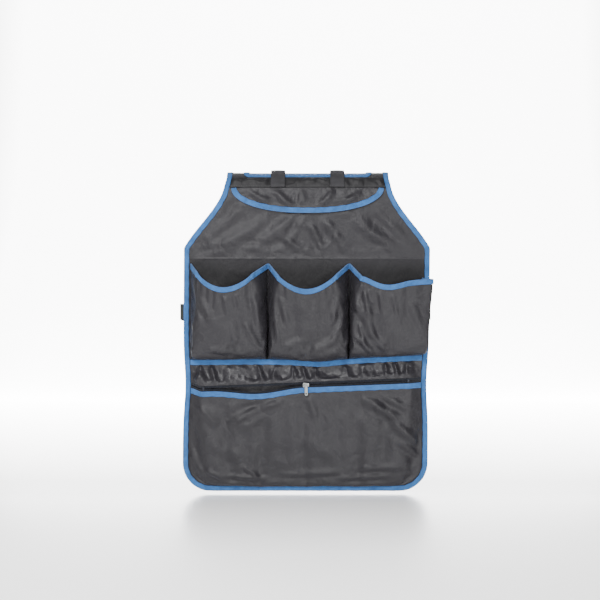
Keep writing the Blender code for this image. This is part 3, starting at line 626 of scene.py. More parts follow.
def press(obj, relief, limit):
    """Moves each point along its normal by relief(x, s, points), as far as it is free to go.

    No point is pressed back past the limit, a y of the model's frame.
    """
    points, normals, free = cloth_points(obj)
    x, s = points[:, 0], points[:, 2] - SHIFT[2]
    moved = points + normals * (relief(x, s, points) * free)[:, None]
    moved[:, 1] = np.minimum(moved[:, 1], np.maximum(limit, points[:, 1]))
    obj.data.vertices.foreach_set("co", moved.astype(np.float32).ravel())
    obj.data.update()


def hang(obj, held, free, behind, nearest, spare, relief, **rules):
    """Lets a gathered cloth hang, rounds it and presses its folds in.

    behind is the y that each point stays in front of, and nearest the least distance off for the folds.
    """
    set_free(obj, free)
    settle(obj, held, spare, behind=np.array(behind), **rules)
    refine(obj)
    press(obj, relief, SHIFT[1] - nearest)


def cut_size(points, columns, rows, fullness=0.0):
    """(width, length), area of a grid of cloth as it was cut."""
    grid = np.array(points).reshape(rows, columns, 3)
    across = np.linalg.norm(np.diff(grid, axis=1), axis=2).sum(axis=1).max()
    up = np.linalg.norm(np.diff(grid, axis=0), axis=2).sum(axis=0).max()
    a, b = grid[1:, :-1] - grid[:-1, :-1], grid[:-1, 1:] - grid[:-1, :-1]
    c, d = grid[1:, :-1] - grid[1:, 1:], grid[:-1, 1:] - grid[1:, 1:]
    area = sum(np.linalg.norm(np.cross(*sides), axis=2).sum() for sides in ((a, b), (c, d))) / 2
    more = 1 + fullness
    area = float(min(area * more * more, across * up * more * more))
    return (float(across * more), float(up * more)), area


def declare(obj, thickness, solid):
    """Thickens a sheet and says what it stands for."""
    thicken(obj, thickness)
    stands_for(obj, solid)


def flat_across(points, columns, rows):
    """The cloth UV of a grid: metres along each row from its middle, and metres up each column."""
    grid = np.array(points).reshape(rows, columns, 3)
    steps = np.linalg.norm(np.diff(grid, axis=1), axis=2)
    along = np.concatenate([np.zeros((rows, 1)), steps.cumsum(axis=1)], 1)
    along -= along[:, -1:] / 2
    steps = np.linalg.norm(np.diff(grid, axis=0), axis=2)
    up = np.concatenate([np.zeros((1, columns)), steps.cumsum(axis=0)], 0)
    return np.stack([along, up], axis=2).reshape(-1, 2)


def woven(name, across, up, place, material, skip=None):
    """A grid of cloth, each point where place(a, b) puts it, with its own flat UV. Gives its points too."""
    rows, columns = len(up), len(across)
    points = [place(a, b) for b in up for a in across]
    faces = []
    for j in range(rows - 1):
        for i in range(columns - 1):
            if skip is None or not skip(i, j):
                k = j * columns + i
                faces.append((k, k + 1, k + columns + 1, k + columns))
    obj = add_mesh(name, points, faces, material, flat_across(points, columns, rows))
    return obj, points


# Finishes

class Net:
    """The nodes of a new material, with short ways to add, link and read them."""

    def __init__(self, material):
        material.use_nodes = True
        tree = material.node_tree
        self.shader = tree.nodes["Principled BSDF"]
        self.node = tree.nodes.new
        self.link = tree.links.new

    def feed(self, socket, value):
        """Links an input to a socket, or gives it a plain value."""
        if hasattr(value, "is_output"):
            self.link(value, socket)
        else:
            socket.default_value = value

    def shade(self, inputs):
        """Feeds the shader's inputs, by label."""
        for label, value in inputs.items():
            self.feed(self.shader.inputs[label], value)

    def object_place(self):
        return self.node("ShaderNodeTexCoord").outputs["Object"]

    def turned_place(self):
        """Object coordinates turned a little, so that no noise lines up with the cloth."""
        made = self.node("ShaderNodeMapping")
        made.inputs["Rotation"].default_value = (0.5, 0.7, 0.6)
        self.link(self.object_place(), made.inputs["Vector"])
        return made.outputs["Vector"]

    def split(self, vector):
        made = self.node("ShaderNodeSeparateXYZ")
        self.link(vector, made.inputs["Vector"])
        return made.outputs

    def cloth_place(self):
        """The cloth's own flat coordinates, in metres, as separate sockets."""
        made = self.node("ShaderNodeUVMap")
        made.uv_map = "cloth"
        return self.split(made.outputs["UV"])

    def math(self, kind, first, second=None):
        made = self.node("ShaderNodeMath")
        made.operation = kind
        self.feed(made.inputs[0], first)
        if second is not None:
            self.feed(made.inputs[1], second)
        return made.outputs[0]

    def times(self, first, second):
        return self.math("MULTIPLY", first, second)

    def plus(self, first, second):
        return self.math("ADD", first, second)

    def wave(self, place, pitch):
        """A sine along place, a crest every pitch."""
        return self.math("SINE", self.times(place, 2 * math.pi / pitch))

    def noise(self, place, scale, detail, roughness, distortion=0.0):
        made = self.node("ShaderNodeTexNoise")
        self.link(place, made.inputs["Vector"])
        values = {"Scale": scale, "Detail": detail, "Roughness": roughness, "Distortion": distortion}
        for label, value in values.items():
            made.inputs[label].default_value = value
        return made.outputs["Fac"]

    def mix(self, share, first, second):
        """A mix of two colours, each a socket or three numbers."""
        made = self.node("ShaderNodeMix")
        made.data_type = "RGBA"
        self.link(share, made.inputs[0])
        for socket, value in ((made.inputs[6], first), (made.inputs[7], second)):
            self.feed(socket, value if hasattr(value, "is_output") else (*value, 1.0))
        return made.outputs[2]

    def ranged(self, value, low, high, to_low, to_high):
        made = self.node("ShaderNodeMapRange")
        self.link(value, made.inputs["Value"])
        labels = ("From Min", "From Max", "To Min", "To Max")
        for label, number in zip(labels, (low, high, to_low, to_high)):
            made.inputs[label].default_value = number
        return made.outputs["Result"]

    def bump(self, layers):
        """Bump nodes one after another, each (height, distance, strength), into the shader."""
        normal = None
        for height, distance, strength in layers:
            made = self.node("ShaderNodeBump")
            made.inputs["Distance"].default_value = distance
            made.inputs["Strength"].default_value = strength
            self.link(height, made.inputs["Height"])
            if normal is not None:
                self.link(normal, made.inputs["Normal"])
            normal = made.outputs["Normal"]
        self.link(normal, self.shader.inputs["Normal"])


def tinted(colour, factor):
    return tuple(min(c * factor, 1.0) for c in colour)


def finish_of(name, paint, *values, **more):
    """The material of this name, painted by paint(net, ...) when it is new."""
    material = bpy.data.materials.get(name) or bpy.data.materials.new(name)
    if not material.use_nodes:
        paint(Net(material), *values, **more)
    return material


def coated_nylon(net, colour, pitch, gloss, crumple, shaded=False):
    """Fine plain-weave nylon with a thin coating: soft sheen, small crumples, paler on its ridges.

    Shaded cloth gets painted shade: it darkens from the panel's welt down into the pockets.
    """
    flat = net.cloth_place()
    weave = net.times(net.wave(flat["X"], pitch), net.wave(flat["Y"], pitch))
    place = net.turned_place()
    broad = net.noise(place, 25.0, 2.5, 0.5, 0.5)
    creases = net.math("ABSOLUTE", net.math("SUBTRACT", broad, 0.5))
    small = net.noise(place, 170.0, 3.0, 0.6, 0.4)
    patches = net.noise(place, 11.0, 2.0, 0.5)
    tone = net.mix(net.ranged(patches, 0.3, 0.7, 0.0, 1.0), tinted(colour, 0.93), tinted(colour, 1.09))
    # Painted shade in the pocket mouths: the colour darkens from the welt down
    if shaded:
        level = net.plus(net.split(net.object_place())["Z"], net.times(patches, 0.03))
        welt = float(SHIFT[2]) + WELT_HEIGHT + 0.015
        tone = net.mix(net.ranged(level, welt - 0.026, welt, 0.0, 1.0), tinted(colour, 0.30), tone)
    thread = net.mix(net.ranged(weave, -1.0, 1.0, 0.0, 0.30), tone, tinted(colour, 1.45))
    net.shade({"Base Color": thread, "Roughness": net.ranged(small, 0.3, 0.7, gloss - 0.03, gloss + 0.05),
               "Specular IOR Level": 0.38, "Sheen Weight": 0.05, "Sheen Roughness": 0.40,
               "Sheen Tint": (0.62, 0.62, 0.68, 1.0)})
    net.bump([(creases, 0.0080 * crumple, 0.6), (small, 0.00018, 0.5), (weave, 0.00005 / crumple, 0.7)])


def ribbed_tape(net, colour, pitch, gloss):
    """Woven binding tape: fine ribs across it, a paler fold that is partly wear and partly a painted
    highlight, and slightly uneven dye.
    """
    flat = net.cloth_place()
    weave = net.plus(net.wave(flat["X"], pitch), net.times(net.wave(flat["Y"], pitch * 0.7), 0.35))
    place = net.object_place()
    broad = net.noise(place, 60.0, 4.0, 0.6, 0.3)
    fine = net.noise(place, 900.0, 2.0, 0.6)
    dye = net.mix(net.ranged(broad, 0.32, 0.68, 0.0, 1.0), tinted(colour, 0.76), tinted(colour, 1.26))
    # The fold is painted paler: partly wear, partly a painted highlight
    edge = net.plus(net.math("ABSOLUTE", flat["Y"]), net.times(fine, 0.0016))
    fold_wear_and_highlight = net.ranged(edge, 0.0006, 0.0022, 0.45, 0.0)
    dye_with_wear_and_highlight = net.mix(fold_wear_and_highlight, dye, tuple(c + (0.75 - c) * 0.30 for c in colour))
    shadow = net.mix(net.ranged(weave, -1.3, 1.3, 0.30, 0.0), dye_with_wear_and_highlight, tinted(colour, 0.55))
    net.shade({"Base Color": shadow, "Roughness": net.ranged(fine, 0.3, 0.7, gloss - 0.05, gloss + 0.12),
               "Specular IOR Level": 0.40, "Sheen Weight": 0.06, "Sheen Roughness": 0.5})
    net.bump([(broad, 0.0010, 0.6), (weave, 0.00010, 0.9), (fine, 0.00008, 0.5)])


def webbing(net, colour, rib, gloss):
    """Narrow woven webbing with ribs along it and a slant weave between them."""
    flat = net.cloth_place()
    across = net.times(flat["X"], 2 * math.pi / rib)
    along = net.times(flat["Y"], 2 * math.pi / (rib * 0.8))
    ribs = net.math("ABSOLUTE", net.math("SINE", net.times(across, 0.5)))
    slant = net.math("SINE", net.plus(along, net.times(across, 0.5)))
    weave = net.plus(ribs, net.times(slant, 0.35))
    place = net.object_place()
    fuzz = net.noise(place, 1400.0, 2.0, 0.7)
    broad = net.noise(place, 70.0, 3.0, 0.5)
    tone = net.mix(net.ranged(broad, 0.3, 0.7, 0.0, 1.0), tinted(colour, 0.85), tinted(colour, 1.2))
    tint = net.mix(net.ranged(weave, -0.3, 1.3, 0.55, 0.0), tone, tinted(colour, 0.45))
    net.shade({"Base Color": tint, "Roughness": net.ranged(fuzz, 0.3, 0.7, gloss - 0.08, gloss + 0.10),
               "Sheen Weight": 0.06, "Sheen Roughness": 0.5})
    net.bump([(weave, 0.00022, 0.9), (fuzz, 0.00008, 0.6)])


def hook_and_loop(net, colour):
    """Dense short pile."""
    place = net.object_place()
    pile = net.node("ShaderNodeTexVoronoi")
    net.link(place, pile.inputs["Vector"])
    pile.inputs["Scale"].default_value = 1600.0
    fuzz = net.noise(place, 2200.0, 3.0, 0.7)
    net.shade({"Base Color": net.mix(fuzz, tinted(colour, 0.6), tinted(colour, 1.8)), "Roughness": 0.92,
               "Sheen Weight": 0.3})
    net.bump([(pile.outputs["Distance"], 0.0003, 0.9), (fuzz, 0.0002, 0.8)])


def moulded_plastic(net, colour, gloss):
    """Plastic with a fine grain and slightly uneven colour."""
    place = net.object_place()
    grain = net.noise(place, 700.0, 3.0, 0.6)
    broad = net.noise(place, 45.0, 2.0, 0.5)
    net.shade({"Base Color": net.mix(broad, tinted(colour, 0.8), tinted(colour, 1.3)),
               "Roughness": net.ranged(grain, 0.3, 0.7, gloss - 0.06, gloss + 0.12)})
    net.bump([(grain, 0.00006, 0.5)])


def plated_metal(net, colour, gloss):
    """Cast and plated metal, with fine tumble marks and duller hollows."""
    place = net.object_place()
    marks = net.noise(place, 1100.0, 4.0, 0.65, 1.5)
    broad = net.noise(place, 260.0, 3.0, 0.5)
    net.shade({"Base Color": net.mix(broad, tinted(colour, 0.82), tinted(colour, 1.05)), "Metallic": 1.0,
               "Roughness": net.ranged(marks, 0.3, 0.7, gloss - 0.07, gloss + 0.14)})
    net.bump([(marks, 0.00003, 0.5)])


THREAD_RIB = 0.0004
NEAR_BLACK = (0.020, 0.020, 0.022)


def finishes():
    """Every finish of the organizer, by name."""
    look = bpy.context.scene.organizer_look
    nylon, pitch, gloss = look.nylon_colour, look.weave_pitch, look.nylon_gloss
    return {
        "nylon": finish_of("charcoal_coated_nylon", coated_nylon, nylon, pitch, gloss, 1.0),
        # Painted light: the lower band's nylon is drawn lighter than the same cloth elsewhere
        "gathered": finish_of("charcoal_gathered_nylon_painted_light", coated_nylon, tinted(nylon, 1.12), pitch,
                              gloss - 0.05, 1.5),
        # Painted shade: the top band's nylon is drawn darker than the same cloth elsewhere
        "band": finish_of("charcoal_band_nylon_painted_shade", coated_nylon, tinted(nylon, 0.45), pitch,
                          gloss + 0.14, 1.2),
        # Painted shade: the panel under the welt, darker still into the pockets' mouths
        "painted_shade_nylon": finish_of("charcoal_dull_nylon_painted_shade", coated_nylon, tinted(nylon, 0.80), pitch,
                            gloss + 0.20, 0.8, shaded=True),
        "tape": finish_of("blue_binding_tape", ribbed_tape, look.tape_colour, look.tape_rib, 0.62),
        "thread": finish_of("blue_thread", ribbed_tape, tinted(look.tape_colour, 0.62), THREAD_RIB, 0.55),
        "dark_thread": finish_of("charcoal_thread", ribbed_tape, (0.030, 0.030, 0.034), THREAD_RIB, 0.6),
        "webbing": finish_of("charcoal_webbing", webbing, look.strap_colour, 0.0017, 0.62),
        "fastening": finish_of("black_hook_and_loop", hook_and_loop, NEAR_BLACK),
        "zip_cloth": finish_of("navy_zip_tape", webbing, look.zip_colour, 0.0009, 0.72),
        "teeth": finish_of("navy_zip_coil", moulded_plastic, tinted(look.zip_colour, 1.4), 0.34),
        "metal": finish_of("zip_nickel", plated_metal, (0.44, 0.46, 0.45), 0.32),
        "elastic": finish_of("black_elastic_weave", webbing, (0.022, 0.026, 0.026), 0.0011, 0.76),
    }


# The panel, band and flap

# The welt across the panel above the pockets, and how far up the panel's painted shade below it begins
WELT_HEIGHT = 0.4210
WELT_RISE = 0.0006
WELT_WIDTH = 0.0016
WELT_HALF = 0.2060
WELT_STEPS = (-0.0028, -0.0019, -0.0010, 0.0, 0.0010, 0.0019, 0.0028)
SHADED_FROM = 0.2300

# The panel's folds: (x0, s0, x1, s1, width, height)
PANEL_FOLDS = (
    (-0.012, 0.5040, -0.110, 0.4300, 0.0100, 0.0050),
    (-0.062, 0.4960, -0.175, 0.4300, 0.0110, 0.0040),
    (0.022, 0.5020, 0.078, 0.4290, 0.0090, 0.0046),
    (0.070, 0.5000, 0.170, 0.4300, 0.0110, 0.0040),
    (-0.105, 0.5250, -0.178, 0.4560, 0.0080, 0.0026),
    (0.112, 0.5200, 0.185, 0.4480, 0.0080, 0.0026),
    (-0.004, 0.5000, -0.044, 0.4280, 0.0060, 0.0026),
    (0.004, 0.4900, 0.030, 0.4300, 0.0060, 0.0028),
    (-0.060, 0.4700, -0.004, 0.4330, 0.0060, 0.0024),
    (0.062, 0.4680, 0.026, 0.4360, 0.0055, 0.0022),
    (-0.128, 0.4560, -0.046, 0.4420, 0.0060, -0.0018),
    (0.060, 0.4420, 0.160, 0.4480, 0.0060, -0.0018),
    (-0.205, 0.4330, -0.140, 0.4420, 0.0050, -0.0018),
)


def panel_relief(x, s):
    """How far the panel's own folds stand out at arrays of x and s."""
    x, s = (np.atleast_1d(np.asarray(values, dtype=float)) for values in (x, s))
    step = bpy.context.scene.organizer_look.fold_height
    edge = np.array([half_width(float(v), 0.0) for v in s])
    room = smooth_all((edge - np.abs(x) - TAPE_WIDTH) / 0.022)
    front = np.clip((s - WELT_HEIGHT) / 0.014, 0.0, 1.0)
    front = front * np.clip((SHOULDER_HIGH - 0.004 - s) / 0.030, 0.0, 1.0)
    points = np.stack([x, np.zeros_like(x), s], axis=1)
    lines = folds(x, s, PANEL_FOLDS)
    small = crumples(points, 0.055, 3.1, (1.0, 1.0, 0.8)) * 0.0017 + crumples(points, 0.020, 5.6) * 0.0005
    welt = WELT_RISE * np.exp(-((s - WELT_HEIGHT) / WELT_WIDTH) ** 2)
    welt = welt * np.clip((WELT_HALF - np.abs(x)) / 0.01, 0.0, 1.0)
    back = crumples(points, 0.070, 8.4)
    behind = -np.abs(back) * 0.0016 * np.clip((0.400 - s) / 0.03, 0.0, 1.0)
    low = np.clip((s - TUCK) / 0.02, 0.0, 1.0)
    return step * (room * front * np.maximum(lines + small, -0.0022) + room * low * behind) + welt


def panel_rows():
    """Heights of the panel's rows of points."""
    turns = np.linspace(0, math.pi / 2, 15)
    corner = [CORNER_RADIUS - (CORNER_RADIUS - EDGE_ROOM) * math.cos(a) for a in turns]
    body = [s for s in np.linspace(CORNER_RADIUS, SHOULDER_LOW, 100)[1:] if abs(s - WELT_HEIGHT) > 0.003]
    body = sorted(body + [WELT_HEIGHT + d for d in WELT_STEPS])
    upper = list(np.linspace(SHOULDER_LOW, SLOT_FRONT - EDGE_ROOM, 50)[1:])
    slot = list(np.linspace(SLOT_FRONT - EDGE_ROOM, SLOT_REAR + EDGE_ROOM, 14)[1:])
    start = REAR_EDGE - REAR_RADIUS
    rear = list(np.linspace(SLOT_REAR + EDGE_ROOM, start, 6)[1:])
    last = [start + (REAR_RADIUS - EDGE_ROOM) * math.sin(a) for a in np.linspace(0, math.pi / 2, 6)[1:]]
    return corner + body + upper + slot + rear + last


def build_panel():
    """The one cloth behind everything, with the slot cut in its bend."""
    made = finishes()
    share = (SLOT_HALF + EDGE_ROOM) / (NECK_HALF - EDGE_ROOM)
    side = list(np.linspace(share, 1.0, 18))
    across = [-v for v in reversed(side)] + list(np.linspace(-share, share, 94))[1:-1] + side
    up = panel_rows()
    low = min(range(len(up)), key=lambda k: abs(up[k] - SLOT_FRONT + EDGE_ROOM))
    high = min(range(len(up)), key=lambda k: abs(up[k] - SLOT_REAR - EDGE_ROOM))
    first, last = len(side) - 1, len(across) - len(side)
    spots = [(u * half_width(s, EDGE_ROOM), s) for s in up for u in across]
    relief = panel_relief([p[0] for p in spots], [p[1] for p in spots])
    height = {}
    for k, spot in enumerate(spots):
        height[(k % len(across), k // len(across))] = (spot, float(relief[k]))

    def place(i, j):
        (x, s), off = height[(i, j)]
        return drape(x, s, off)

    panel, points = woven("panel_cloth", range(len(across)), range(len(up)), place, made["nylon"],
                          skip=lambda i, j: first <= i < last and low <= j < high)
    flat, area = cut_size(points, len(across), len(up))
    # The front's two finishes are followed by the two of the back, which is all plain nylon
    for finish in ("painted_shade_nylon", "nylon", "nylon"):
        panel.data.materials.append(made[finish])
    # Faces between SHADED_FROM and the welt take the finish with painted shade
    for face in panel.data.polygons:
        s = face.center.z - SHIFT[2]
        face.material_index = int(SHADED_FROM < s < WELT_HEIGHT - 0.0006)
    area -= 2 * SLOT_HALF * SLOT_LENGTH
    declare(panel, CLOTH, "back_panel")
    panel.modifiers["thickness"].material_offset = 2


# Heights of the top band's puff beside the straps and of its creases
BAND_PUFF = 0.0012
BAND_WAVE = 0.0046


def build_top_band():
    """The strip across the top that holds the flap's seam and the straps' fastening."""
    across = np.linspace(-1, 1, 150)
    up = np.linspace(BAND_FOOT, SLOT_FRONT - TAPE_WIDTH - SEAM_ROOM, 13)
    spread = up[-1] - up[0]

    def place(u, s):
        x = u * half_width(s, TUCK)
        t = (s - up[0]) / spread
        under = min(abs(x - STRAP_SPACING / 2), abs(x + STRAP_SPACING / 2)) / STRAP_WIDTH
        puff = BAND_PUFF * math.sin(math.pi * t) * smooth((under - 0.62) / 0.5)
        wave = float(crumples([(x, 0.0, s)], 0.024, 4.6, (1.2, 1.0, 0.9))[0])
        wave *= BAND_WAVE * math.sin(math.pi * t)
        return drape(x, s, BAND_OFF + (puff + max(wave, -0.0002)) * smooth((1 - abs(u)) / 0.06))

    # The band's nylon carries painted shade
    band, points = woven("band_cloth", across, up, place, finishes()["band"])
    cut = cut_size(points, len(across), len(up))
    declare(band, CLOTH, "top_band")


# The flap's folds, as the panel's
FLAP_FOLDS = (
    (-0.066, 0.5480, -0.022, 0.5100, 0.0055, 0.0034),
    (0.052, 0.5480, 0.016, 0.5100, 0.0055, 0.0034),
    (-0.016, 0.5480, -0.004, 0.5130, 0.0040, 0.0026),
    (0.018, 0.5480, 0.004, 0.5180, 0.0035, -0.0018),
    (0.100, 0.5450, 0.062, 0.5160, 0.0050, 0.0026),
    (-0.108, 0.5450, -0.066, 0.5160, 0.0050, 0.0026),
    (-0.086, 0.5300, -0.030, 0.5230, 0.0040, 0.0014),
    (0.036, 0.5230, 0.088, 0.5300, 0.0040, 0.0014),
)


def flap_off(x, s):
    """How far the flap stands off the panel's plane at arrays of x and s."""
    x, s = (np.atleast_1d(np.asarray(values, dtype=float)) for values in (x, s))
    hang = np.clip((BAND_FOOT - SEAM_ROOM - s) / FLAP_DROP, 0.0, 1.0)
    lift = 0.0042 * hang**1.4 * (1 + 0.35 * np.cos(x * 46) + 0.2 * np.sin(x * 83 + 1))
    inner = np.clip(hang / 0.25, 0.0, 1.0)
    spots = np.stack([x, np.zeros_like(x), s], axis=1)
    free = np.clip((FLAP_DROP - TAPE_WIDTH * 0.6 - (BAND_FOOT - s)) / 0.010, 0.25, 1.0)
    own = (1.7 * folds(x, s, FLAP_FOLDS) + crumples(spots, 0.034, 8.8) * 0.0018) * free
    return ON_PANEL + np.maximum(panel_relief(x, s), 0.0) + lift + inner * np.maximum(own, -0.0006)


def build_flap():
    """The rounded flap under the top band."""
    turns = np.linspace(0.10, math.pi - 0.10, 90)
    across = [flap_share(a) for a in turns]
    up = np.linspace(0, 1, 16)
    half = FLAP_HALF - EDGE_ROOM
    spots = []
    for v in up:
        for u in across:
            top = BAND_FOOT - SEAM_ROOM + 0.0080 * smooth((0.9 - abs(u)) / 0.1)
            round_edge = math.sqrt(max(1 - abs(u) ** FLAP_POWER, 0.0))
            low = BAND_FOOT - SEAM_ROOM - (FLAP_DROP - EDGE_ROOM) * round_edge
            spots.append((u * half, low + (top - low) * v))
    offs = flap_off([p[0] for p in spots], [p[1] for p in spots])
    count = len(across)

    def place(i, j):
        x, s = spots[j * count + i]
        return drape(x, s, float(offs[j * count + i]))

    flap, points = woven("flap_cloth", range(count), range(len(up)), place, finishes()["nylon"])
    cut = cut_size(points, count, len(up))
    declare(flap, CLOTH, "top_flap")


# The pockets

# Each pocket's folds, as the panel's
POCKET_FOLDS = {
    "pocket_left": (
        (-0.196, 0.3550, -0.165, 0.3000, 0.0060, 0.0026), (-0.098, 0.3650, -0.086, 0.2900, 0.0050, 0.0030),
        (-0.190, 0.2620, -0.110, 0.2500, 0.0050, 0.0024), (-0.150, 0.3600, -0.142, 0.3150, 0.0040, 0.0016),
        (-0.115, 0.3100, -0.084, 0.2560, 0.0055, 0.0028), (-0.128, 0.3650, -0.122, 0.3300, 0.0035, 0.0018),
    ),
    "pocket_middle": (
        (-0.050, 0.3600, -0.036, 0.3000, 0.0050, 0.0026), (0.062, 0.2800, -0.006, 0.2480, 0.0075, 0.0034),
        (0.0600, 0.2600, 0.0140, 0.2440, 0.0055, 0.0026), (0.0540, 0.3600, 0.0440, 0.3000, 0.0050, 0.0034),
        (-0.0040, 0.2800, -0.0520, 0.2560, 0.0060, 0.0024), (0.0660, 0.3150, 0.0400, 0.2700, 0.0050, 0.0032),
        (-0.0580, 0.3200, -0.0500, 0.2600, 0.0045, 0.0024),
    ),
    "pocket_right": (
        (0.0880, 0.3500, 0.1220, 0.2700, 0.0080, 0.0046), (0.1000, 0.3700, 0.1120, 0.3100, 0.0050, 0.0042),
        (0.0820, 0.2850, 0.1200, 0.2500, 0.0050, 0.0050), (0.1800, 0.3500, 0.2040, 0.2900, 0.0060, 0.0026),
        (0.1500, 0.3620, 0.1600, 0.3150, 0.0035, 0.0018), (0.1080, 0.2960, 0.1420, 0.2520, 0.0055, 0.0036),
        (0.1280, 0.3650, 0.1340, 0.3200, 0.0035, 0.0020), (0.0900, 0.3120, 0.1040, 0.2620, 0.0040, 0.0034),
    ),
}

# Where the pockets' cloth is creased most: (x, s, reach)
POCKET_CREASED = (
    (0.0300, 0.2560, 0.0320), (0.1040, 0.2560, 0.0300), (0.0900, 0.3300, 0.0260),
    (-0.0840, 0.3450, 0.0260), (0.0620, 0.3400, 0.0240), (-0.1500, 0.2500, 0.0300),
)


def soft_point(name, u, drop):
    """pocket_point with the pocket's two ridges rounded a little."""
    near = min(abs(u - 1), abs(u - 2))
    if near > 0.10:
        return pocket_point(name, u, drop)
    step = 0.045 * (1 - near / 0.10)
    a, b, c = (pocket_point(name, u + d, drop) for d in (-step, 0.0, step))
    return tuple((a[k] + 2 * b[k] + c[k]) / 4 for k in range(3))


def pocket_columns():
    """The columns of a pocket, close together at its ridges."""
    side = [0.0, 0.08, 0.17, 0.27, 0.38, 0.49, 0.60, 0.71, 0.81, 0.90, 0.96]
    front = list(1 + np.linspace(0, 1, 33))
    return [-0.7] + side + front + [3 - v for v in reversed(side)] + [3.7]


# Height of the gathers under a rim, and how many cross a pocket's front
GATHER_HEIGHT = 0.0016
GATHER_TURNS = 5.5


def gathers(name, u, drop):
    """Small pleats of the front just under its bound rim, which die away below it."""
    if not 0.9 < u < 2.1:
        return 0.0
    f = u - 1
    fade = smooth((drop - 0.004) / 0.010) * math.exp(-max(drop - 0.012, 0.0) / 0.014)
    pleats = math.sin(2 * math.pi * (GATHER_TURNS * f + 0.45 * math.sin(7 * f + len(name))))
    sides = 0.35 + 0.65 * smooth((abs(f - 0.5) - 0.12) / 0.2)
    return GATHER_HEIGHT * pleats * sides * fade * smooth((min(f, 1 - f) + 0.02) / 0.10)


# How far a gusset swells, as a share of its width: at its rim, and how much more this far below it
SWELL_RIM = 0.20
SWELL_MORE = 0.24
SWELL_REACH = 0.140


def gusset_round(name, u, x, drop):
    """How far a gusset swells sideways between its seam and its ridge, towards the next pocket."""
    seams = pocket_seams(name)
    if 0 < u < 1 and name != "pocket_left":
        seam, t = seams[0], u
    elif 2 < u < 3 and name != "pocket_right":
        seam, t = seams[1], 3 - u
    else:
        return 0.0
    width = (x - seam) / t
    swell = SWELL_RIM + SWELL_MORE * smooth(drop / SWELL_REACH)
    return -swell * width * math.sin(math.pi * t**1.7) * smooth((drop - 0.008) / 0.026)


# Shares of the look's fullness: in the cut size of a hung cloth, and in how it hangs
CUT_SPARE = 0.5
HUNG_SPARE = 0.35
# How far the pocket's cloth ends below the top of its bound rim
RIM_INSET = 0.0013


def build_pocket(name):
    """One pocket's cloth: two gussets and a front, sewn down at its sides and foot, and left to hang."""
    look = bpy.context.scene.organizer_look
    across = pocket_columns()
    up = [0.0, 0.008, 0.018, 0.030, 0.045, 0.065, 0.09, *np.linspace(0.12, 0.90, 27), 0.93, 0.955, 0.98, 1.0]
    held, free, behind = [], [], []

    def place(u, v):
        rim = pocket_point(name, u, 0.0)[1]
        low = pocket_foot(name, u) + CLOTH / 2
        top = rim - RIM_INSET
        drop = rim - (low + (top - low) * v)
        x, s, off = soft_point(name, u, drop)
        off += gathers(name, u, drop)
        x += gusset_round(name, u, x, drop)
        sewn = 1.0 if u <= 0.0 or u >= 3.0 or v == 0.0 else 0.0
        rim_hold = 1 - smooth((drop - TAPE_WIDTH - 0.001) / 0.012)
        dart = (1 - smooth(min(abs(u - 1), abs(u - 2)) / 0.09)) * (1 - smooth((drop - 0.020) / 0.035))
        held.append(max(sewn, rim_hold, dart * 0.9))
        edge = smooth(min(u, 3 - u) / 0.2) if 0 < u < 3 else 0.0
        free.append(edge * smooth(v / 0.06) * smooth((drop - TAPE_WIDTH - 0.0015) / 0.010))
        behind.append(SHIFT[1] + side_fall(x) - LAYER_ONE)
        return drape(x, s, off)

    cloth, points = woven(name + "_cloth", across, up, place, finishes()["nylon"])

    def relief(x, s, spots):
        small = crumples(spots, 0.048, 5.7 + len(name)) * 0.0011
        lower = np.clip((0.300 - s) / 0.05, 0.0, 1.0) * crumples(spots, 0.036, 9.0, (1.5, 1.0, 0.6)) * 0.0010
        creased = sum(np.exp(-((x - cx) ** 2 + (s - cs) ** 2) / r**2) for cx, cs, r in POCKET_CREASED)
        creased = creased * crumples(spots, 0.024, 1.4, (1.0, 1.0, 1.3)) * 0.0020
        return look.fold_height * (folds(x, s, POCKET_FOLDS[name]) + small + lower + creased)

    cut = cut_size(points, len(across), len(up), look.fullness * CUT_SPARE)
    hang(cloth, held, free, behind, LAYER_ONE, look.fullness * HUNG_SPARE, relief,
         frames=30, gravity=0.8, pressure=1.3, reach=0.011)
    declare(cloth, CLOTH, name)


# The gathered band and the zip pocket

# Distance between the band's pleats, and their height
PLEAT_PITCH = 0.064
PLEAT_HEIGHT = 0.0040


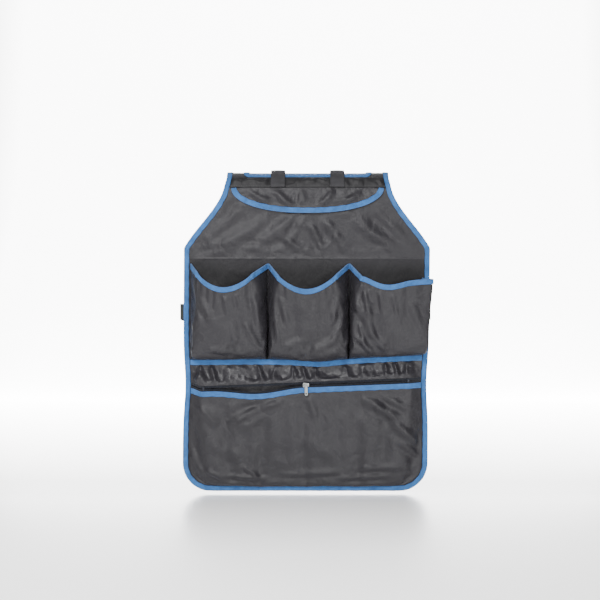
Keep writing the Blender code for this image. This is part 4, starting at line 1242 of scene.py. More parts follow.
def build_lower_band():
    """The gathered strip between the pockets' feet and the zip."""
    look = bpy.context.scene.organizer_look
    across = np.linspace(-ZIP_SIDES, ZIP_SIDES, 170)
    rows = [*np.linspace(0, 1, 4), *np.linspace(1, 2, 10)[1:], *np.linspace(2, 3, 4)[1:]]
    held, free = [], []

    def place(x, v):
        low = zip_line(x) + BAND_CLEAR
        lap = zip_line(x) + COIL_SPLIT / 2 + ZIP_TAPE_WIDTH + SEAM_ROOM
        top = band_edge(x) - EDGE_ROOM
        level = band_edge(x) - TAPE_WIDTH - SEAM_ROOM
        front = zip_off(x) + ZIP_TAPE / 2 + ZIP_LAP + CLOTH / 2
        side = smooth((ZIP_SIDES - abs(x)) / 0.012)
        if v <= 1:
            held.append(max(1 - 0.3 * v, 1 - side))
            free.append(side * 0.35 * v)
            return drape(x, low + (lap - low) * v, front)
        t = min(v - 1, 1.0)
        s = lap + (level - lap) * t if v <= 2 else level + (top - level) * (v - 2)
        seam = max(0.0 if v < 2 else 1.0, smooth((v - 1.8) / 0.2))
        held.append(max(seam, 0.7 * (1 - smooth((v - 1) / 0.15)), 1 - side))
        free.append(side * (1 - smooth((v - 1.84) / 0.14)) * (0.35 + 0.65 * smooth((v - 1) / 0.2)))
        reach = ZIP_SIDES + (half_width(s, TUCK) - ZIP_SIDES) * t
        return drape(x * reach / ZIP_SIDES, s, front + (ON_PANEL - front) * smooth(t))

    # The band's nylon is painted lighter than the rest: painted light
    band, points = woven("lower_band_cloth", across, rows, place, finishes()["gathered"])

    def relief(x, s, spots):
        turn = 2 * np.pi * x
        swing = np.sin(turn / 0.083 + 60 * s) * 0.7 + np.sin(turn / 0.190 + 1.0) * 1.1
        pleats = (1.0 - 1.7 * np.abs(np.sin(turn / PLEAT_PITCH + swing))) * PLEAT_HEIGHT
        cross = crumples(spots, 0.034, 7.7, (1.0, 1.0, 1.2)) * 0.0016
        return look.fold_height * (pleats + cross + 0.0014)

    cut = cut_size(points, len(across), len(rows), look.fullness)
    behind = [SHIFT[1] + side_fall(p[0]) - ON_PANEL for p in points]
    hang(band, held, free, behind, ON_PANEL, look.fullness * 0.3, relief,
         frames=24, gravity=0.6, pressure=1.0, reach=0.006)
    declare(band, CLOTH, "lower_band")


# The zip pocket's folds, as the panel's
ZIP_POCKET_FOLDS = (
    (-0.034, 0.1760, -0.152, 0.1180, 0.0075, 0.0062),
    (-0.060, 0.1500, -0.130, 0.1080, 0.0080, 0.0034),
    (0.092, 0.1760, 0.172, 0.1260, 0.0085, 0.0056),
    (0.120, 0.1820, 0.190, 0.1450, 0.0060, 0.0030),
    (0.150, 0.1300, 0.204, 0.0800, 0.0080, 0.0052),
    (0.160, 0.0980, 0.208, 0.0560, 0.0065, 0.0040),
    (-0.196, 0.1560, -0.160, 0.1150, 0.0070, 0.0034),
    (-0.186, 0.0400, -0.150, 0.0230, 0.0050, 0.0034),
    (-0.160, 0.0300, -0.060, 0.0230, 0.0045, 0.0030),
    (-0.120, 0.0480, -0.088, 0.0260, 0.0040, 0.0026),
    (-0.060, 0.0300, 0.070, 0.0360, 0.0050, 0.0028),
    (0.040, 0.0230, 0.160, 0.0310, 0.0045, 0.0030),
    (0.080, 0.0420, 0.190, 0.0450, 0.0055, 0.0026),
    (-0.020, 0.1000, 0.060, 0.0600, 0.0110, 0.0022),
    (-0.180, 0.0900, -0.110, 0.0560, 0.0100, 0.0024),
    (0.000, 0.1740, 0.018, 0.1280, 0.0060, 0.0022),
)


def build_zip_pocket():
    """The large pocket's front, sewn in at its sides and foot, and left to hang from the zip."""
    look = bpy.context.scene.organizer_look
    across = np.linspace(-1, 1, 110)
    up = [0.0, 0.006, 0.014, 0.026, 0.042, 0.060, *np.linspace(0.08, 0.90, 36), 0.925, 0.95, 0.975, 1.0]
    reach = half_width(ZIP_HEIGHT, TUCK)
    held, free, behind = [], [], []

    def place(u, v):
        top = zip_pocket_edge(u * ZIP_SIDES) - EDGE_ROOM
        s = TUCK + (top - TUCK) * v
        x = u * half_width(s, TUCK)
        x += (u * reach - x) * smooth((v - 0.86) / 0.04)
        drop = top - s
        side = smooth((half_width(s, TUCK) - abs(x)) / 0.014)
        sewn = 1.0 if v == 0.0 else 0.0
        held.append(max(1 - side if side < 0.05 else 0.0, sewn, 1 - smooth((drop - 0.010) / 0.010)))
        free.append(side * smooth(v / 0.05) * smooth((drop - TAPE_WIDTH - 0.001) / 0.012))
        behind.append(SHIFT[1] + side_fall(x) - LAYER_ONE)
        return drape(x, s, zip_pocket_off(x, s))

    cloth, points = woven("zip_pocket_cloth", across, up, place, finishes()["nylon"])

    def relief(x, s, spots):
        small = crumples(spots, 0.085, 6.3) * 0.0020 + crumples(spots, 0.030, 3.4) * 0.0003
        low = np.clip((0.050 - s) / 0.03, 0.0, 1.0) * crumples(spots, 0.040, 2.8, (2.2, 1.0, 0.5)) * 0.0013
        return look.fold_height * (folds(x, s, ZIP_POCKET_FOLDS) + small + low)

    cut = cut_size(points, len(across), len(up), look.fullness * CUT_SPARE)
    hang(cloth, held, free, behind, LAYER_ONE, look.fullness * HUNG_SPARE, relief,
         frames=30, gravity=1.0, pressure=0.5, reach=0.010)
    declare(cloth, CLOTH, "zip_pocket")


# Bindings: a path on the sheet, and tape folded over it

FOLD_TURNS = (60, 30, 0, -30, -60)
FLAP_END_TURN = 0.0115


def tape_section():
    """The folded tape's section, front edge round to back edge: (in from the edge, off, flat width)."""
    legs = [TAPE_WIDTH - k * (TAPE_WIDTH - FOLD) / 5 for k in range(6)]
    section = [(w, FOLD, w) for w in legs]
    for turn in FOLD_TURNS:
        a = math.radians(turn)
        section.append((FOLD - FOLD * math.cos(a), FOLD * math.sin(a), FOLD * a))
    section += [(w, -FOLD, -w) for w in reversed(legs)]
    return section


def evenly(path, step, ring=False):
    """A path's points, set evenly step apart."""
    points = np.array(list(path) + ([path[0]] if ring else []), dtype=float)
    length = np.concatenate([[0.0], np.linalg.norm(np.diff(points, axis=0), axis=1).cumsum()])
    count = max(int(round(length[-1] / step)), 4)
    at = np.linspace(0.0, length[-1], count + 1)
    even = np.stack([np.interp(at, length, points[:, k]) for k in range(points.shape[1])], axis=1)
    return even[:-1] if ring else even


def outline_path():
    """The panel's bound edge, anticlockwise from the right end of its foot."""
    corner = [CORNER_RADIUS * (1 - math.cos(a)) for a in np.linspace(0, math.pi / 2, 30)]
    body = list(np.linspace(CORNER_RADIUS, REAR_EDGE - REAR_RADIUS, 260)[1:])
    rear = [REAR_EDGE - REAR_RADIUS * (1 - math.sin(a)) for a in np.linspace(0, math.pi / 2, 12)[1:]]
    right = [(half_width(s), s) for s in corner + body + rear]
    left = [(-x, s) for x, s in right[::-1]]
    return evenly(right + left, 0.0022, ring=True)


def slot_path():
    """The slot's bound edge, clockwise, so that the cloth lies to its left."""
    x_in, front_in, rear_in = SLOT_HALF - SLOT_CORNER, SLOT_FRONT + SLOT_CORNER, SLOT_REAR - SLOT_CORNER
    corners = [(x_in, front_in, 0), (-x_in, front_in, 270), (-x_in, rear_in, 180), (x_in, rear_in, 90)]
    path = []
    for x, s, start in corners:
        for side in range(0, 91, 10):
            a = math.radians(start - side)
            path.append((x + SLOT_CORNER * math.cos(a), s + SLOT_CORNER * math.sin(a)))
    return evenly(path, 0.0020, ring=True)


def flap_path():
    """The flap's bound edge from its left end round to its right end."""
    top = BAND_FOOT - SEAM_ROOM
    turns = np.linspace(FLAP_END_TURN, math.pi - FLAP_END_TURN, 400)
    return evenly([(FLAP_HALF * flap_share(a), top - FLAP_DROP * math.sin(a)) for a in turns], 0.0020)


def band_path():
    """The lower band's bound top edge, from right to left."""
    path = []
    for column in np.linspace(ZIP_SIDES, -ZIP_SIDES, 230):
        reach = half_width(band_edge(column) - TAPE_WIDTH, TUCK) - SEAM_ROOM
        path.append((column * reach / ZIP_SIDES, band_edge(column)))
    return np.array(path)


def zip_pocket_path():
    """The zip pocket's bound top edge, from right to left."""
    return np.array([(x, zip_pocket_edge(x)) for x in np.linspace(ZIP_SIDES, -ZIP_SIDES, 230)])


def no_lift(x, s):
    return np.zeros(len(x))


def on_panel_lift(x, s):
    return np.full(len(x), ON_PANEL)


def zip_pocket_lift(x, s):
    return np.array([zip_off(v) + ZIP_TAPE / 2 + ZIP_LAP + BOUND for v in x])


# name: (its path, how far its middle is off the sheet, closed, upright, seed)
BINDINGS = {
    "outer_binding": (outline_path, no_lift, True, False, 1.3),
    "slot_binding": (slot_path, no_lift, True, False, 2.9),
    "flap_binding": (flap_path, flap_off, False, False, 4.1),
    "lower_band_binding": (band_path, on_panel_lift, False, True, 5.5),
    "zip_pocket_binding": (zip_pocket_path, zip_pocket_lift, False, True, 6.8),
}


# Heights of the tape's puckers and of its darts at the ridges, and the rims' own seed and step
PUCKER = 0.00050
RIM_DART = 0.0017
RIM_SEED = 7.7
RIM_STEP = 0.0035


def pucker(seed, i, step, w, side):
    """How far the tape puckers off its cloth between stitches, never into it."""
    along = i * step
    wave = noise.noise(Vector((along * 95 + seed, side * 3.0, 0.0)))
    wave += 0.6 * noise.noise(Vector((along * 240, side * 5.0, seed)))
    inner = 0.35 + 0.65 * smooth((w - 0.002) / 0.006)
    return PUCKER * max(wave + 0.25, 0.0) * inner


def binding_grid(name):
    """Every point of a binding, by step along it and place in the section, the step, and if it closes."""
    make_path, lift, ring, upright, seed = BINDINGS[name]
    path = make_path()
    count = len(path)
    section = tape_section()
    step = float(np.linalg.norm(path[1] - path[0]))
    grid = np.empty((count, len(section), 3))
    if ring:
        along = np.roll(path, -1, axis=0) - np.roll(path, 1, axis=0)
    else:
        along = np.gradient(path, axis=0)
    along /= np.linalg.norm(along, axis=1, keepdims=True)
    inward = np.tile([0.0, -1.0], (count, 1)) if upright else np.stack([-along[:, 1], along[:, 0]], axis=1)
    for k, (w, off, flat) in enumerate(section):
        wave = np.array([0.0003 * math.sin(i * step * 310 + seed) for i in range(count)]) * (w > 0.008)
        spots = path + inward * (w + wave)[:, None]
        level = lift(path[:, 0] if upright else spots[:, 0], spots[:, 1])
        for i in range(count):
            more = pucker(seed, i, step, w, 1 if off > 0 else -1) if w > FOLD * 0.9 else 0.0
            if name in ("lower_band_binding", "zip_pocket_binding") and off < 0:
                more = 0.0
            grid[i, k] = drape(spots[i, 0], spots[i, 1], float(level[i]) + off + math.copysign(more, off))
    return grid, step, ring


def tape_mesh(name, grid, along, ring, turned=False):
    """The tape's sheet from its grid of points, with a flat UV. Turned swaps the ends of every face."""
    count, width = grid.shape[:2]
    across = [flat for w, off, flat in tape_section()]
    faces, uvs = [], []
    for i in range(count if ring else count - 1):
        ends = [((i + 1) % count, along[i + 1]), (i, along[i])]
        (m, b), (n, a) = ends[::-1] if turned else ends
        for k in range(width - 1):
            faces.append((m * width + k, n * width + k, n * width + k + 1, m * width + k + 1))
            uvs += [(b, across[k]), (a, across[k]), (a, across[k + 1]), (b, across[k + 1])]
    obj = add_mesh(name, grid.reshape(-1, 3), faces, finishes()["tape"])
    layer = obj.data.uv_layers.new(name="cloth")
    layer.data.foreach_set("uv", np.array(uvs, dtype=np.float32).ravel())
    return thicken(obj, TAPE)


def build_binding(name):
    """One length of blue tape, folded over an edge."""
    grid, step, ring = binding_grid(name)
    tape = tape_mesh(name + "_tape", grid, [i * step for i in range(len(grid) + 1)], ring)
    stands_for(tape, name)


def rim_columns():
    """(pocket, u) along all three rims, close together at the ridges."""
    one = [u for u in pocket_columns() if 0.0 <= u <= 3.0]
    middles = [(a + b) / 2 for a, b in zip(one, one[1:])]
    fine = sorted({round(float(v), 5) for v in one + middles})
    columns = [(name, u) for name in POCKETS for u in fine]
    before = [("pocket_left", u) for u in (-0.7, -0.35)]
    return before + columns + [("pocket_right", u) for u in (3.35, 3.7)]


def rim_dart(name, u):
    """How far the rim's tape stands off where it is pinched over a pocket's ridge."""
    if name == "pocket_right" and u > 1.5:
        return 0.0
    turn = min(1.0 - u, u - 2.0, key=abs)
    return RIM_DART * smooth((0.20 - turn) / 0.14) * smooth((turn + 0.028) / 0.012)


def rim_grid():
    """Every point of the tape along the pockets' rims."""
    columns = rim_columns()
    section = tape_section()
    grid = np.empty((len(columns), len(section), 3))
    plans = {}

    def plan(i, drop):
        if (i, round(drop, 6)) not in plans:
            x, s, off = soft_point(columns[i][0], columns[i][1], drop)
            plans[(i, round(drop, 6))] = (np.array((x, off)), s)
        return plans[(i, round(drop, 6))]

    for i in range(len(columns)):
        for k, (drop, shift, flat) in enumerate(section):
            shift *= 1 + RIM_ROOM / FOLD
            if shift > 0 and drop > FOLD * 0.9:
                shift += pucker(RIM_SEED, i, RIM_STEP, drop, 1) + rim_dart(*columns[i])
            here, s = plan(i, drop)
            ways = []
            if i > 0:
                ways.append(here - plan(i - 1, drop)[0])
            if i < len(columns) - 1:
                ways.append(plan(i + 1, drop)[0] - here)
            normals = [np.array((-w[1], w[0])) / max(np.linalg.norm(w), 1e-9) for w in ways]
            out = sum(normals)
            out = out / max(np.linalg.norm(out), 1e-9)
            stretch = 1 / max(float(out.dot(normals[0])), 0.5)
            spot = here + out * shift * stretch
            grid[i, k] = drape(float(spot[0]), s, float(spot[1]))
    return grid


def build_pocket_binding():
    """One tape along all three rims, flat on the panel at the dividers."""
    grid = rim_grid()
    steps = np.linalg.norm(np.diff(grid[:, 8], axis=0), axis=1)
    along = np.concatenate([[0.0], steps.cumsum()])
    tape = tape_mesh("pocket_binding_tape", grid, along, False, turned=True)
    stands_for(tape, "pocket_binding")


# Straps, fastening and elastic

def strap_off(s):
    """The strap's height over the sheet: over the patches in front, sewn down behind the slot."""
    front = BAND_OFF + CLOTH / 2 + 3 * GAP + 2 * PATCH_THICK + STRAP_THICK / 2
    over_tape = BOUND + GAP + STRAP_THICK / 2
    sewn = CLOTH / 2 + GAP + STRAP_THICK / 2
    patch_end = BAND_FOOT + PATCH_LENGTH + 0.003
    slot_end = SLOT_REAR + TAPE_WIDTH + SEAM_ROOM
    if s < SLOT_REAR:
        return front + (over_tape - front) * smooth((s - patch_end) / (SLOT_REAR - patch_end))
    return over_tape + (sewn - over_tape) * smooth((s - slot_end) / 0.004)


# How far the strap and its patches begin over the band's foot, and the small heights of their faces
STRAP_INSET = 0.0005
STRAP_RISE = 0.0002
STRAP_ARCH = 0.0008
HEM_RISE = 0.0007
PILE_HEIGHT = 0.00008
PATCH_INSET = 0.0010


def build_strap(side, centre):
    """A webbing strap that bridges the slot and closes on the top band, with the patches under its end."""
    made = finishes()
    start = BAND_FOOT + STRAP_INSET
    up = np.linspace(start, REAR_EDGE - TAPE_WIDTH - SEAM_ROOM, 60)
    across = np.linspace(-STRAP_WIDTH / 2, STRAP_WIDTH / 2, 22)

    def place(x, s):
        hem = HEM_RISE * (1 - smooth((s - start - 0.0050) / 0.0015)) * smooth((s - start) / 0.0012)
        over = min(max((s - SLOT_FRONT) / SLOT_LENGTH, 0), 1)
        arch = STRAP_ARCH * math.sin(math.pi * over) * (1 - (2 * x / STRAP_WIDTH) ** 2)
        return drape(centre + x, s, strap_off(s) + STRAP_RISE + hem + arch)

    strap, points = woven(side + "_strap_webbing", across, up, place, made["webbing"])
    flat, area = cut_size(points, len(across), len(up))
    thicken(strap, STRAP_THICK)
    stands_for(strap, side + "_strap")
    for layer, kind in enumerate(("loop", "hook")):
        off = BAND_OFF + CLOTH / 2 + GAP + PATCH_THICK / 2 + layer * (PATCH_THICK + GAP)
        foot = BAND_FOOT + PATCH_INSET
        rows = np.linspace(foot, foot + PATCH_LENGTH, 16)
        columns = np.linspace(-PATCH_WIDTH / 2, PATCH_WIDTH / 2, 22)

        def pile(x, s, off=off, layer=layer):
            return drape(centre + x, s, off + PILE_HEIGHT * math.sin(x * 5200 + layer) * math.sin(s * 4700))

        patch = woven(f"{side}_{kind}_pile", columns, rows, pile, made["fastening"])[0]
        thicken(patch, PATCH_THICK)
        stands_for(patch, f"{side}_{kind}_patch")


def seat_strap_path():
    """The elastic's plan from its left end round the back to its right end, as (x, distance back)."""
    back = side_fall(BODY_HALF) + BOUND + GAP + SEAT_STRAP_THICK / 2
    halves = []
    for side, bulge in zip((-1, 1), SEAT_STRAP_BULGE):
        start, reach = BODY_HALF - 0.002, BODY_HALF + bulge
        half = [(BODY_HALF - TAPE_WIDTH, back), (start, back)]
        for a in np.linspace(0, math.pi / 2, 13)[1:]:
            half.append((start + (reach - start) * math.sin(a), back + SEAT_STRAP_TURN * (1 - math.cos(a))))
        level = back + SEAT_STRAP_TURN
        for a in np.linspace(0, math.pi / 2, 90)[1:]:
            deep = level + (SEAT_STRAP_DEPTH - level) * math.sin(a) ** 0.8
            half.append((reach * max(math.cos(a), 0.0) ** 0.55, deep))
        halves.append([(side * x, y) for x, y in half])
    return halves[0] + halves[1][-2::-1]


def build_seat_strap():
    """The elastic that goes back round behind the panel."""
    path = seat_strap_path()
    start = path[1][1]
    even = evenly(path, 0.0035)
    across = range(len(even))
    up = np.linspace(-SEAT_STRAP_WIDTH / 2, SEAT_STRAP_WIDTH / 2, 18)

    def place(i, w):
        x, y = even[i]
        droop = SEAT_STRAP_DROOP * smooth((y - start) / (SEAT_STRAP_DEPTH - start))
        curl = 0.0010 * (2 * w / SEAT_STRAP_WIDTH) ** 2 * smooth((y - start) / 0.02)
        lean = HANG_LEAN * (1 - SEAT_STRAP_HEIGHT / BEND_END)
        return np.array((x - lean, y - curl, SEAT_STRAP_HEIGHT + w - droop)) + SHIFT

    strap, points = woven("seat_elastic", across, up, place, finishes()["elastic"])
    # The weave's ribs run along the elastic, so its flat coordinates change places
    index = np.empty(len(strap.data.loops), dtype=np.int32)
    strap.data.loops.foreach_get("vertex_index", index)
    flat_uv = flat_across(points, len(even), len(up))[:, ::-1]
    strap.data.uv_layers["cloth"].data.foreach_set("uv", flat_uv[index].astype(np.float32).ravel())
    cut = cut_size(points, len(even), len(up))
    declare(strap, SEAT_STRAP_THICK, "seat_strap")


# The zip

# The share of their spacing that teeth and stitches fill, and of the solid coil that the teeth do
BLOCK_SHARE = 0.72
TOOTH_THICK = 0.98
TOOTH_WIDTH = 0.96
STOP_THICK = 0.0010
ZIP_RIPPLE = 0.00012


def zip_point(x, side, w, off):
    """A point beside the zip's line: w out from the split, off proud of the tape's middle."""
    sag = mouth_sag(x) if side < 0 else 0.0
    return drape(x, zip_line(x) - sag + side * (COIL_SPLIT / 2 + w), zip_off(x) + off)


def build_zip():
    """Both tapes, their rows of teeth and the end stops."""
    made = finishes()
    look = bpy.context.scene.organizer_look
    for label, side in (("upper", 1), ("lower", -1)):
        ends = [ZIP_SIDES * t for t in np.linspace(-1, 1, 210)]
        widths = np.linspace(0, ZIP_TAPE_WIDTH, 9)[::side]

        def place(x, w, side=side):
            ripple = ZIP_RIPPLE * math.sin(x * 380) * smooth(w / 0.004)
            return zip_point(x, side, w, ripple)

        tape = woven(f"zip_tape_{label}_cloth", ends, widths, place, made["zip_cloth"])[0]
        thicken(tape, ZIP_TAPE)
        stands_for(tape, "zip_tape_" + label)
        reach = ZIP_STRAIGHT - STOP_SIZE - GAP
        proud = ZIP_TAPE / 2 + GAP + COIL / 2
        line = [zip_point(x, side, COIL / 2, proud) for x in np.linspace(-reach, reach, 300)]
        sizes = {"Spacing": look.tooth_pitch, "Length": look.tooth_pitch * BLOCK_SHARE,
                 "Thickness": COIL * TOOTH_THICK, "Width": COIL * TOOTH_WIDTH}
        teeth = repeat_along(f"zip_teeth_{label}", [line], sizes, made["teeth"])
        stands_for(teeth, "zip_coil_" + label)
    for label, side in (("left", -1), ("right", 1)):
        spot = side * (ZIP_STRAIGHT - STOP_SIZE / 2)
        off = zip_off(spot) + ZIP_TAPE / 2 + GAP + COIL + GAP + STOP_THICK / 2
        clip = rounded_plate(f"zip_stop_{label}_clip", clip_outline(), STOP_THICK, 0.0003, made["teeth"])
        move_mesh(clip, along_zip(drape(spot, zip_line(spot), off)))
        stands_for(clip, "zip_stop_" + label)


SHARP_FROM = math.radians(50)


def rounded_plate(name, outline, thickness, bevel, material, hole=None):
    """A plate with rounded edges from an outline of (along, across) points, its middle at y = 0."""
    plate = bmesh.new()
    loop = [plate.verts.new((a, -thickness / 2, c)) for a, c in outline]
    if hole:
        inner = [plate.verts.new((a, -thickness / 2, c)) for a, c in hole]
        edges = []
        for ring in (loop, inner):
            edges += [plate.edges.new((ring[i], ring[(i + 1) % len(ring)])) for i in range(len(ring))]
        bmesh.ops.triangle_fill(plate, edges=edges, use_beauty=True)
    else:
        plate.faces.new(loop)
    front = list(plate.faces)
    deep = bmesh.ops.extrude_face_region(plate, geom=front)
    back = [v for v in deep["geom"] if isinstance(v, bmesh.types.BMVert)]
    bmesh.ops.translate(plate, vec=(0, thickness, 0), verts=back)
    bmesh.ops.recalc_face_normals(plate, faces=plate.faces)
    mesh = bpy.data.meshes.new(name)
    plate.to_mesh(mesh)
    plate.free()
    mesh.materials.append(material)
    obj = placed(name, mesh)
    rounding = obj.modifiers.new("rounding", "BEVEL")
    rounding.width = bevel
    rounding.segments = 3
    rounding.limit_method = "ANGLE"
    rounding.angle_limit = math.radians(40)
    keep_modifiers(obj).set_sharp_from_angle(angle=SHARP_FROM)
    return obj


def move_mesh(obj, matrix):
    obj.data.transform(matrix)
    obj.data.update()


def clip_outline():
    """A stop's outline with cut corners."""
    a, c, cut = STOP_SIZE / 2, COIL + COIL_SPLIT / 2, 0.0007
    right = [(a - cut, -c), (a, -c + cut), (a, c - cut), (a - cut, c)]
    return [(-a + cut, -c), *right, (-a + cut, c), (-a, c - cut), (-a, -c + cut)]


# The width of the slider's tail, as a share of its mouth's
SLIDER_TAIL = 0.80


def slider_outline(scale=1.0):
    """The slider's plate: shoulders at its mouth, a waist, and a narrower tail."""
    half, wide = SLIDER_LENGTH / 2 * scale, SLIDER_WIDTH / 2 * scale
    tail = SLIDER_WIDTH / 2 * SLIDER_TAIL * scale
    upper = []
    for t in np.linspace(0, 1, 15):
        a = -half + 2 * half * t
        c = wide + (tail - wide) * smooth((t - 0.35) / 0.5)
        c *= math.sqrt(max(1 - max((0.16 - t) / 0.16, 0) ** 2 * 0.55, 0.0))
        c *= math.sqrt(max(1 - max((t - 0.86) / 0.14, 0) ** 2 * 0.45, 0.0))
        upper.append((a, c))
    return [(a, -c) for a, c in upper] + upper[::-1]


def along_zip(at):
    """From axes along, out from and across the zip at a point, to the model's frame."""
    return Matrix.Translation(Vector(at)) @ Matrix.Rotation(-math.atan(ZIP_SLOPE), 4, "Y")


def bar_ring(centre, along, radius, up=(0, 0, 1)):
    """A ring round a bar at centre whose axis is along, its first point towards up."""
    up = Vector(up)
    side = Vector(along).normalized().cross(up).normalized()
    return centre, tuple(up * radius), tuple(side * radius)


def metal_piece(name, parts, body):
    """Joins a metal piece's parts and puts it on the zip, for the solid with its body's name."""
    piece = merge(name, parts)
    piece.data.set_sharp_from_angle(angle=SHARP_FROM)
    move_mesh(piece, along_zip(drape(0.0, ZIP_HEIGHT, 0.0)))
    stands_for(piece, body, body)


# The slider's wedge, seen from the front
WEDGE = ((-0.0043, -0.0003), (-0.0043, 0.0003), (-0.0036, 0.0005), (-0.0020, 0.0003),
         (-0.0018, 0.0), (-0.0020, -0.0003), (-0.0036, -0.0005))
PLATE_ROUND = 0.00032
CROWN_SCALE = 0.66
CROWN_THICK = 0.0006
LIP_ROOM = 0.0004
LIP_WALL = 0.00055
BAIL_INSET = 0.0013
BAIL_BEND = 0.0011
BAIL_FOOT = 0.0006
BAIL_FLARE = 0.0009


def build_slider():
    """The slider: two lipped plates, the wedge between them and the bail that carries the pull."""
    metal = finishes()["metal"]
    parts = []

    def plate(name, outline, thickness, bevel, middle):
        part = rounded_plate(name, outline, thickness, bevel, metal)
        move_mesh(part, Matrix.Translation((0, -middle, 0)))
        parts.append(part)

    back = ZIP_STAND - ZIP_TAPE / 2 - SLIDER_ROOM - SLIDER_PLATE
    lip_low = ZIP_STAND + ZIP_TAPE / 2 + LIP_ROOM
    lip_high = PLATE_FRONT - SLIDER_PLATE / 2
    plate("plate_front", slider_outline(), SLIDER_PLATE, PLATE_ROUND, lip_high)
    plate("plate_back", slider_outline(), SLIDER_PLATE, PLATE_ROUND, back + SLIDER_PLATE / 2)
    plate("plate_crown", slider_outline(CROWN_SCALE), CROWN_THICK, 0.00025, PLATE_FRONT + 0.0001)
    for side in (-1, 1):
        wall = [(a, c) for a, c in slider_outline() if c * side > 0]
        inner = [(a, c - side * LIP_WALL) for a, c in wall]
        lip = wall[1:-1] + inner[1:-1][::-1]
        plate("lip", lip, lip_high - lip_low, 0.00015, (lip_high + lip_low) / 2)
    plate("wedge", WEDGE, PLATE_FRONT - back - SLIDER_PLATE, 0.00008, (PLATE_FRONT + back) / 2)
    leg_at = SLIDER_LENGTH / 2 - BAIL_INSET
    foot = PLATE_FRONT - BAIL_FOOT
    radius = BAIL_BAR / 2
    rings = []
    for side in (-1, 1):
        leg = [bar_ring((side * leg_at, -foot, 0), (0, side, 0), radius * 1.25),
               bar_ring((side * leg_at, -(foot + BAIL_FLARE), 0), (0, side, 0), radius * 1.02)]
        for a in np.linspace(0, math.pi / 2, 6):
            out = BAIL_AT - BAIL_BEND + BAIL_BEND * math.sin(a)
            spot = (side * (leg_at - BAIL_BEND * (1 - math.cos(a))), -out, 0)
            leg.append(bar_ring(spot, (math.sin(a), side * math.cos(a), 0), radius))
        rings += leg[::-side]
    parts.append(mend_normals(tube("bail", rings, metal, 14)))
    metal_piece("slider_body", parts, "zip_slider")


# The pull's eye, its hole, its top and shoulders below the bail, and its raised bead
EYE_ACROSS = 0.0042
EYE_HOLE = 0.0021
EYE_HALF = 0.0013
PULL_HOLE = 0.0013
PULL_HOLE_AT = 0.0038
PULL_TOP = 0.0016
PULL_SHOULDER = 0.0030
BEAD = 0.00022


def build_pull():
    """The tab that hangs from the bail by its eye, with a raised rim round a sunk middle."""
    metal = finishes()["metal"]
    middle, ring = (EYE_ACROSS + EYE_HOLE) / 4, (EYE_ACROSS - EYE_HOLE) / 4
    rings = []
    for a in np.linspace(0, 2 * math.pi, 33)[:-1]:
        spot = (0.0, -BAIL_AT + middle * math.cos(a), middle * math.sin(a))
        rings.append((spot, (EYE_HALF, 0.0, 0.0), (0.0, ring * math.cos(a), ring * math.sin(a))))
    eye = mend_normals(tube("eye", rings, metal, 16, closed=True))
    top, half, foot = -PULL_TOP, PULL_WIDTH / 2, -PULL_LENGTH
    outline = [(-half * 0.62, top), (half * 0.62, top), (half * 0.98, top - PULL_SHOULDER)]
    outline += [(half * math.cos(a), foot + half + half * math.sin(a)) for a in np.linspace(0, -math.pi, 17)]
    outline += [(-half * 0.98, top - PULL_SHOULDER)]
    hole = []
    for a in np.linspace(0, 2 * math.pi, 21)[:-1]:
        hole.append((PULL_HOLE * math.cos(a), foot + PULL_HOLE_AT + PULL_HOLE * math.sin(a)))
    tab = rounded_plate("tab", outline, PULL_THICK, 0.0003, metal, hole=hole)
    move_mesh(tab, Matrix.Translation((0, -BAIL_AT, 0)))
    rim = [(x * 0.80, z * 0.97 - 0.0004) for x, z in outline]
    rings = []
    for i, (x, z) in enumerate(rim):
        before, after = rim[i - 1], rim[(i + 1) % len(rim)]
        along = (after[0] - before[0], 0, after[1] - before[1])
        rings.append(bar_ring((x, -BAIL_AT - PULL_THICK / 2, z), along, BEAD, up=(0, -1, 0)))
    bead = mend_normals(tube("bead", rings, metal, 8, closed=True))
    metal_piece("pull_tab", [eye, tab, bead], "zip_pull")


# Stitches

# Height of the stitches over the tape, their distance in from its inner edge, and their section
STITCH_OVER = 0.00006
STITCH_INSET = 0.0018
STITCH_THICK = 0.00042
STITCH_WIDTH = 0.00046
RIM_STITCH_LEG = 1
DART_START = 0.0012
DART_LENGTH = 0.0300
DART_OVER = 0.0002
# Heights over the band's foot of the straps' seams and the band's own
STRAP_SEAM = 0.0058
BAND_SEAM = 0.0025


def stitch_run(name, w):
    """The line of stitches along a binding's front, w in from the edge."""
    grid, step, ring = binding_grid(name)
    section = tape_section()
    fronts = [k for k, (v, off, flat) in enumerate(section) if off >= FOLD]
    k = min(fronts, key=lambda k: abs(section[k][0] - w))
    run = over_tape(grid, k)
    return run + run[:1] if ring else run


def over_tape(grid, k):
    """The points of column k of a tape's grid, raised to where the thread lies on the tape."""
    return [tuple(p) for p in grid[:, k] + surface_out(grid, k) * (TAPE / 2 + STITCH_OVER)]


def surface_out(grid, k):
    """The outward way at column k of a tape's grid."""
    along = np.gradient(grid[:, k], axis=0)
    across = grid[:, k] - grid[:, k + 1]
    out = np.cross(along, across)
    out /= np.maximum(np.linalg.norm(out, axis=1, keepdims=True), 1e-12)
    flip = out[:, 1] - out[:, 2]
    return np.where((flip > 0)[:, None], -out, out)


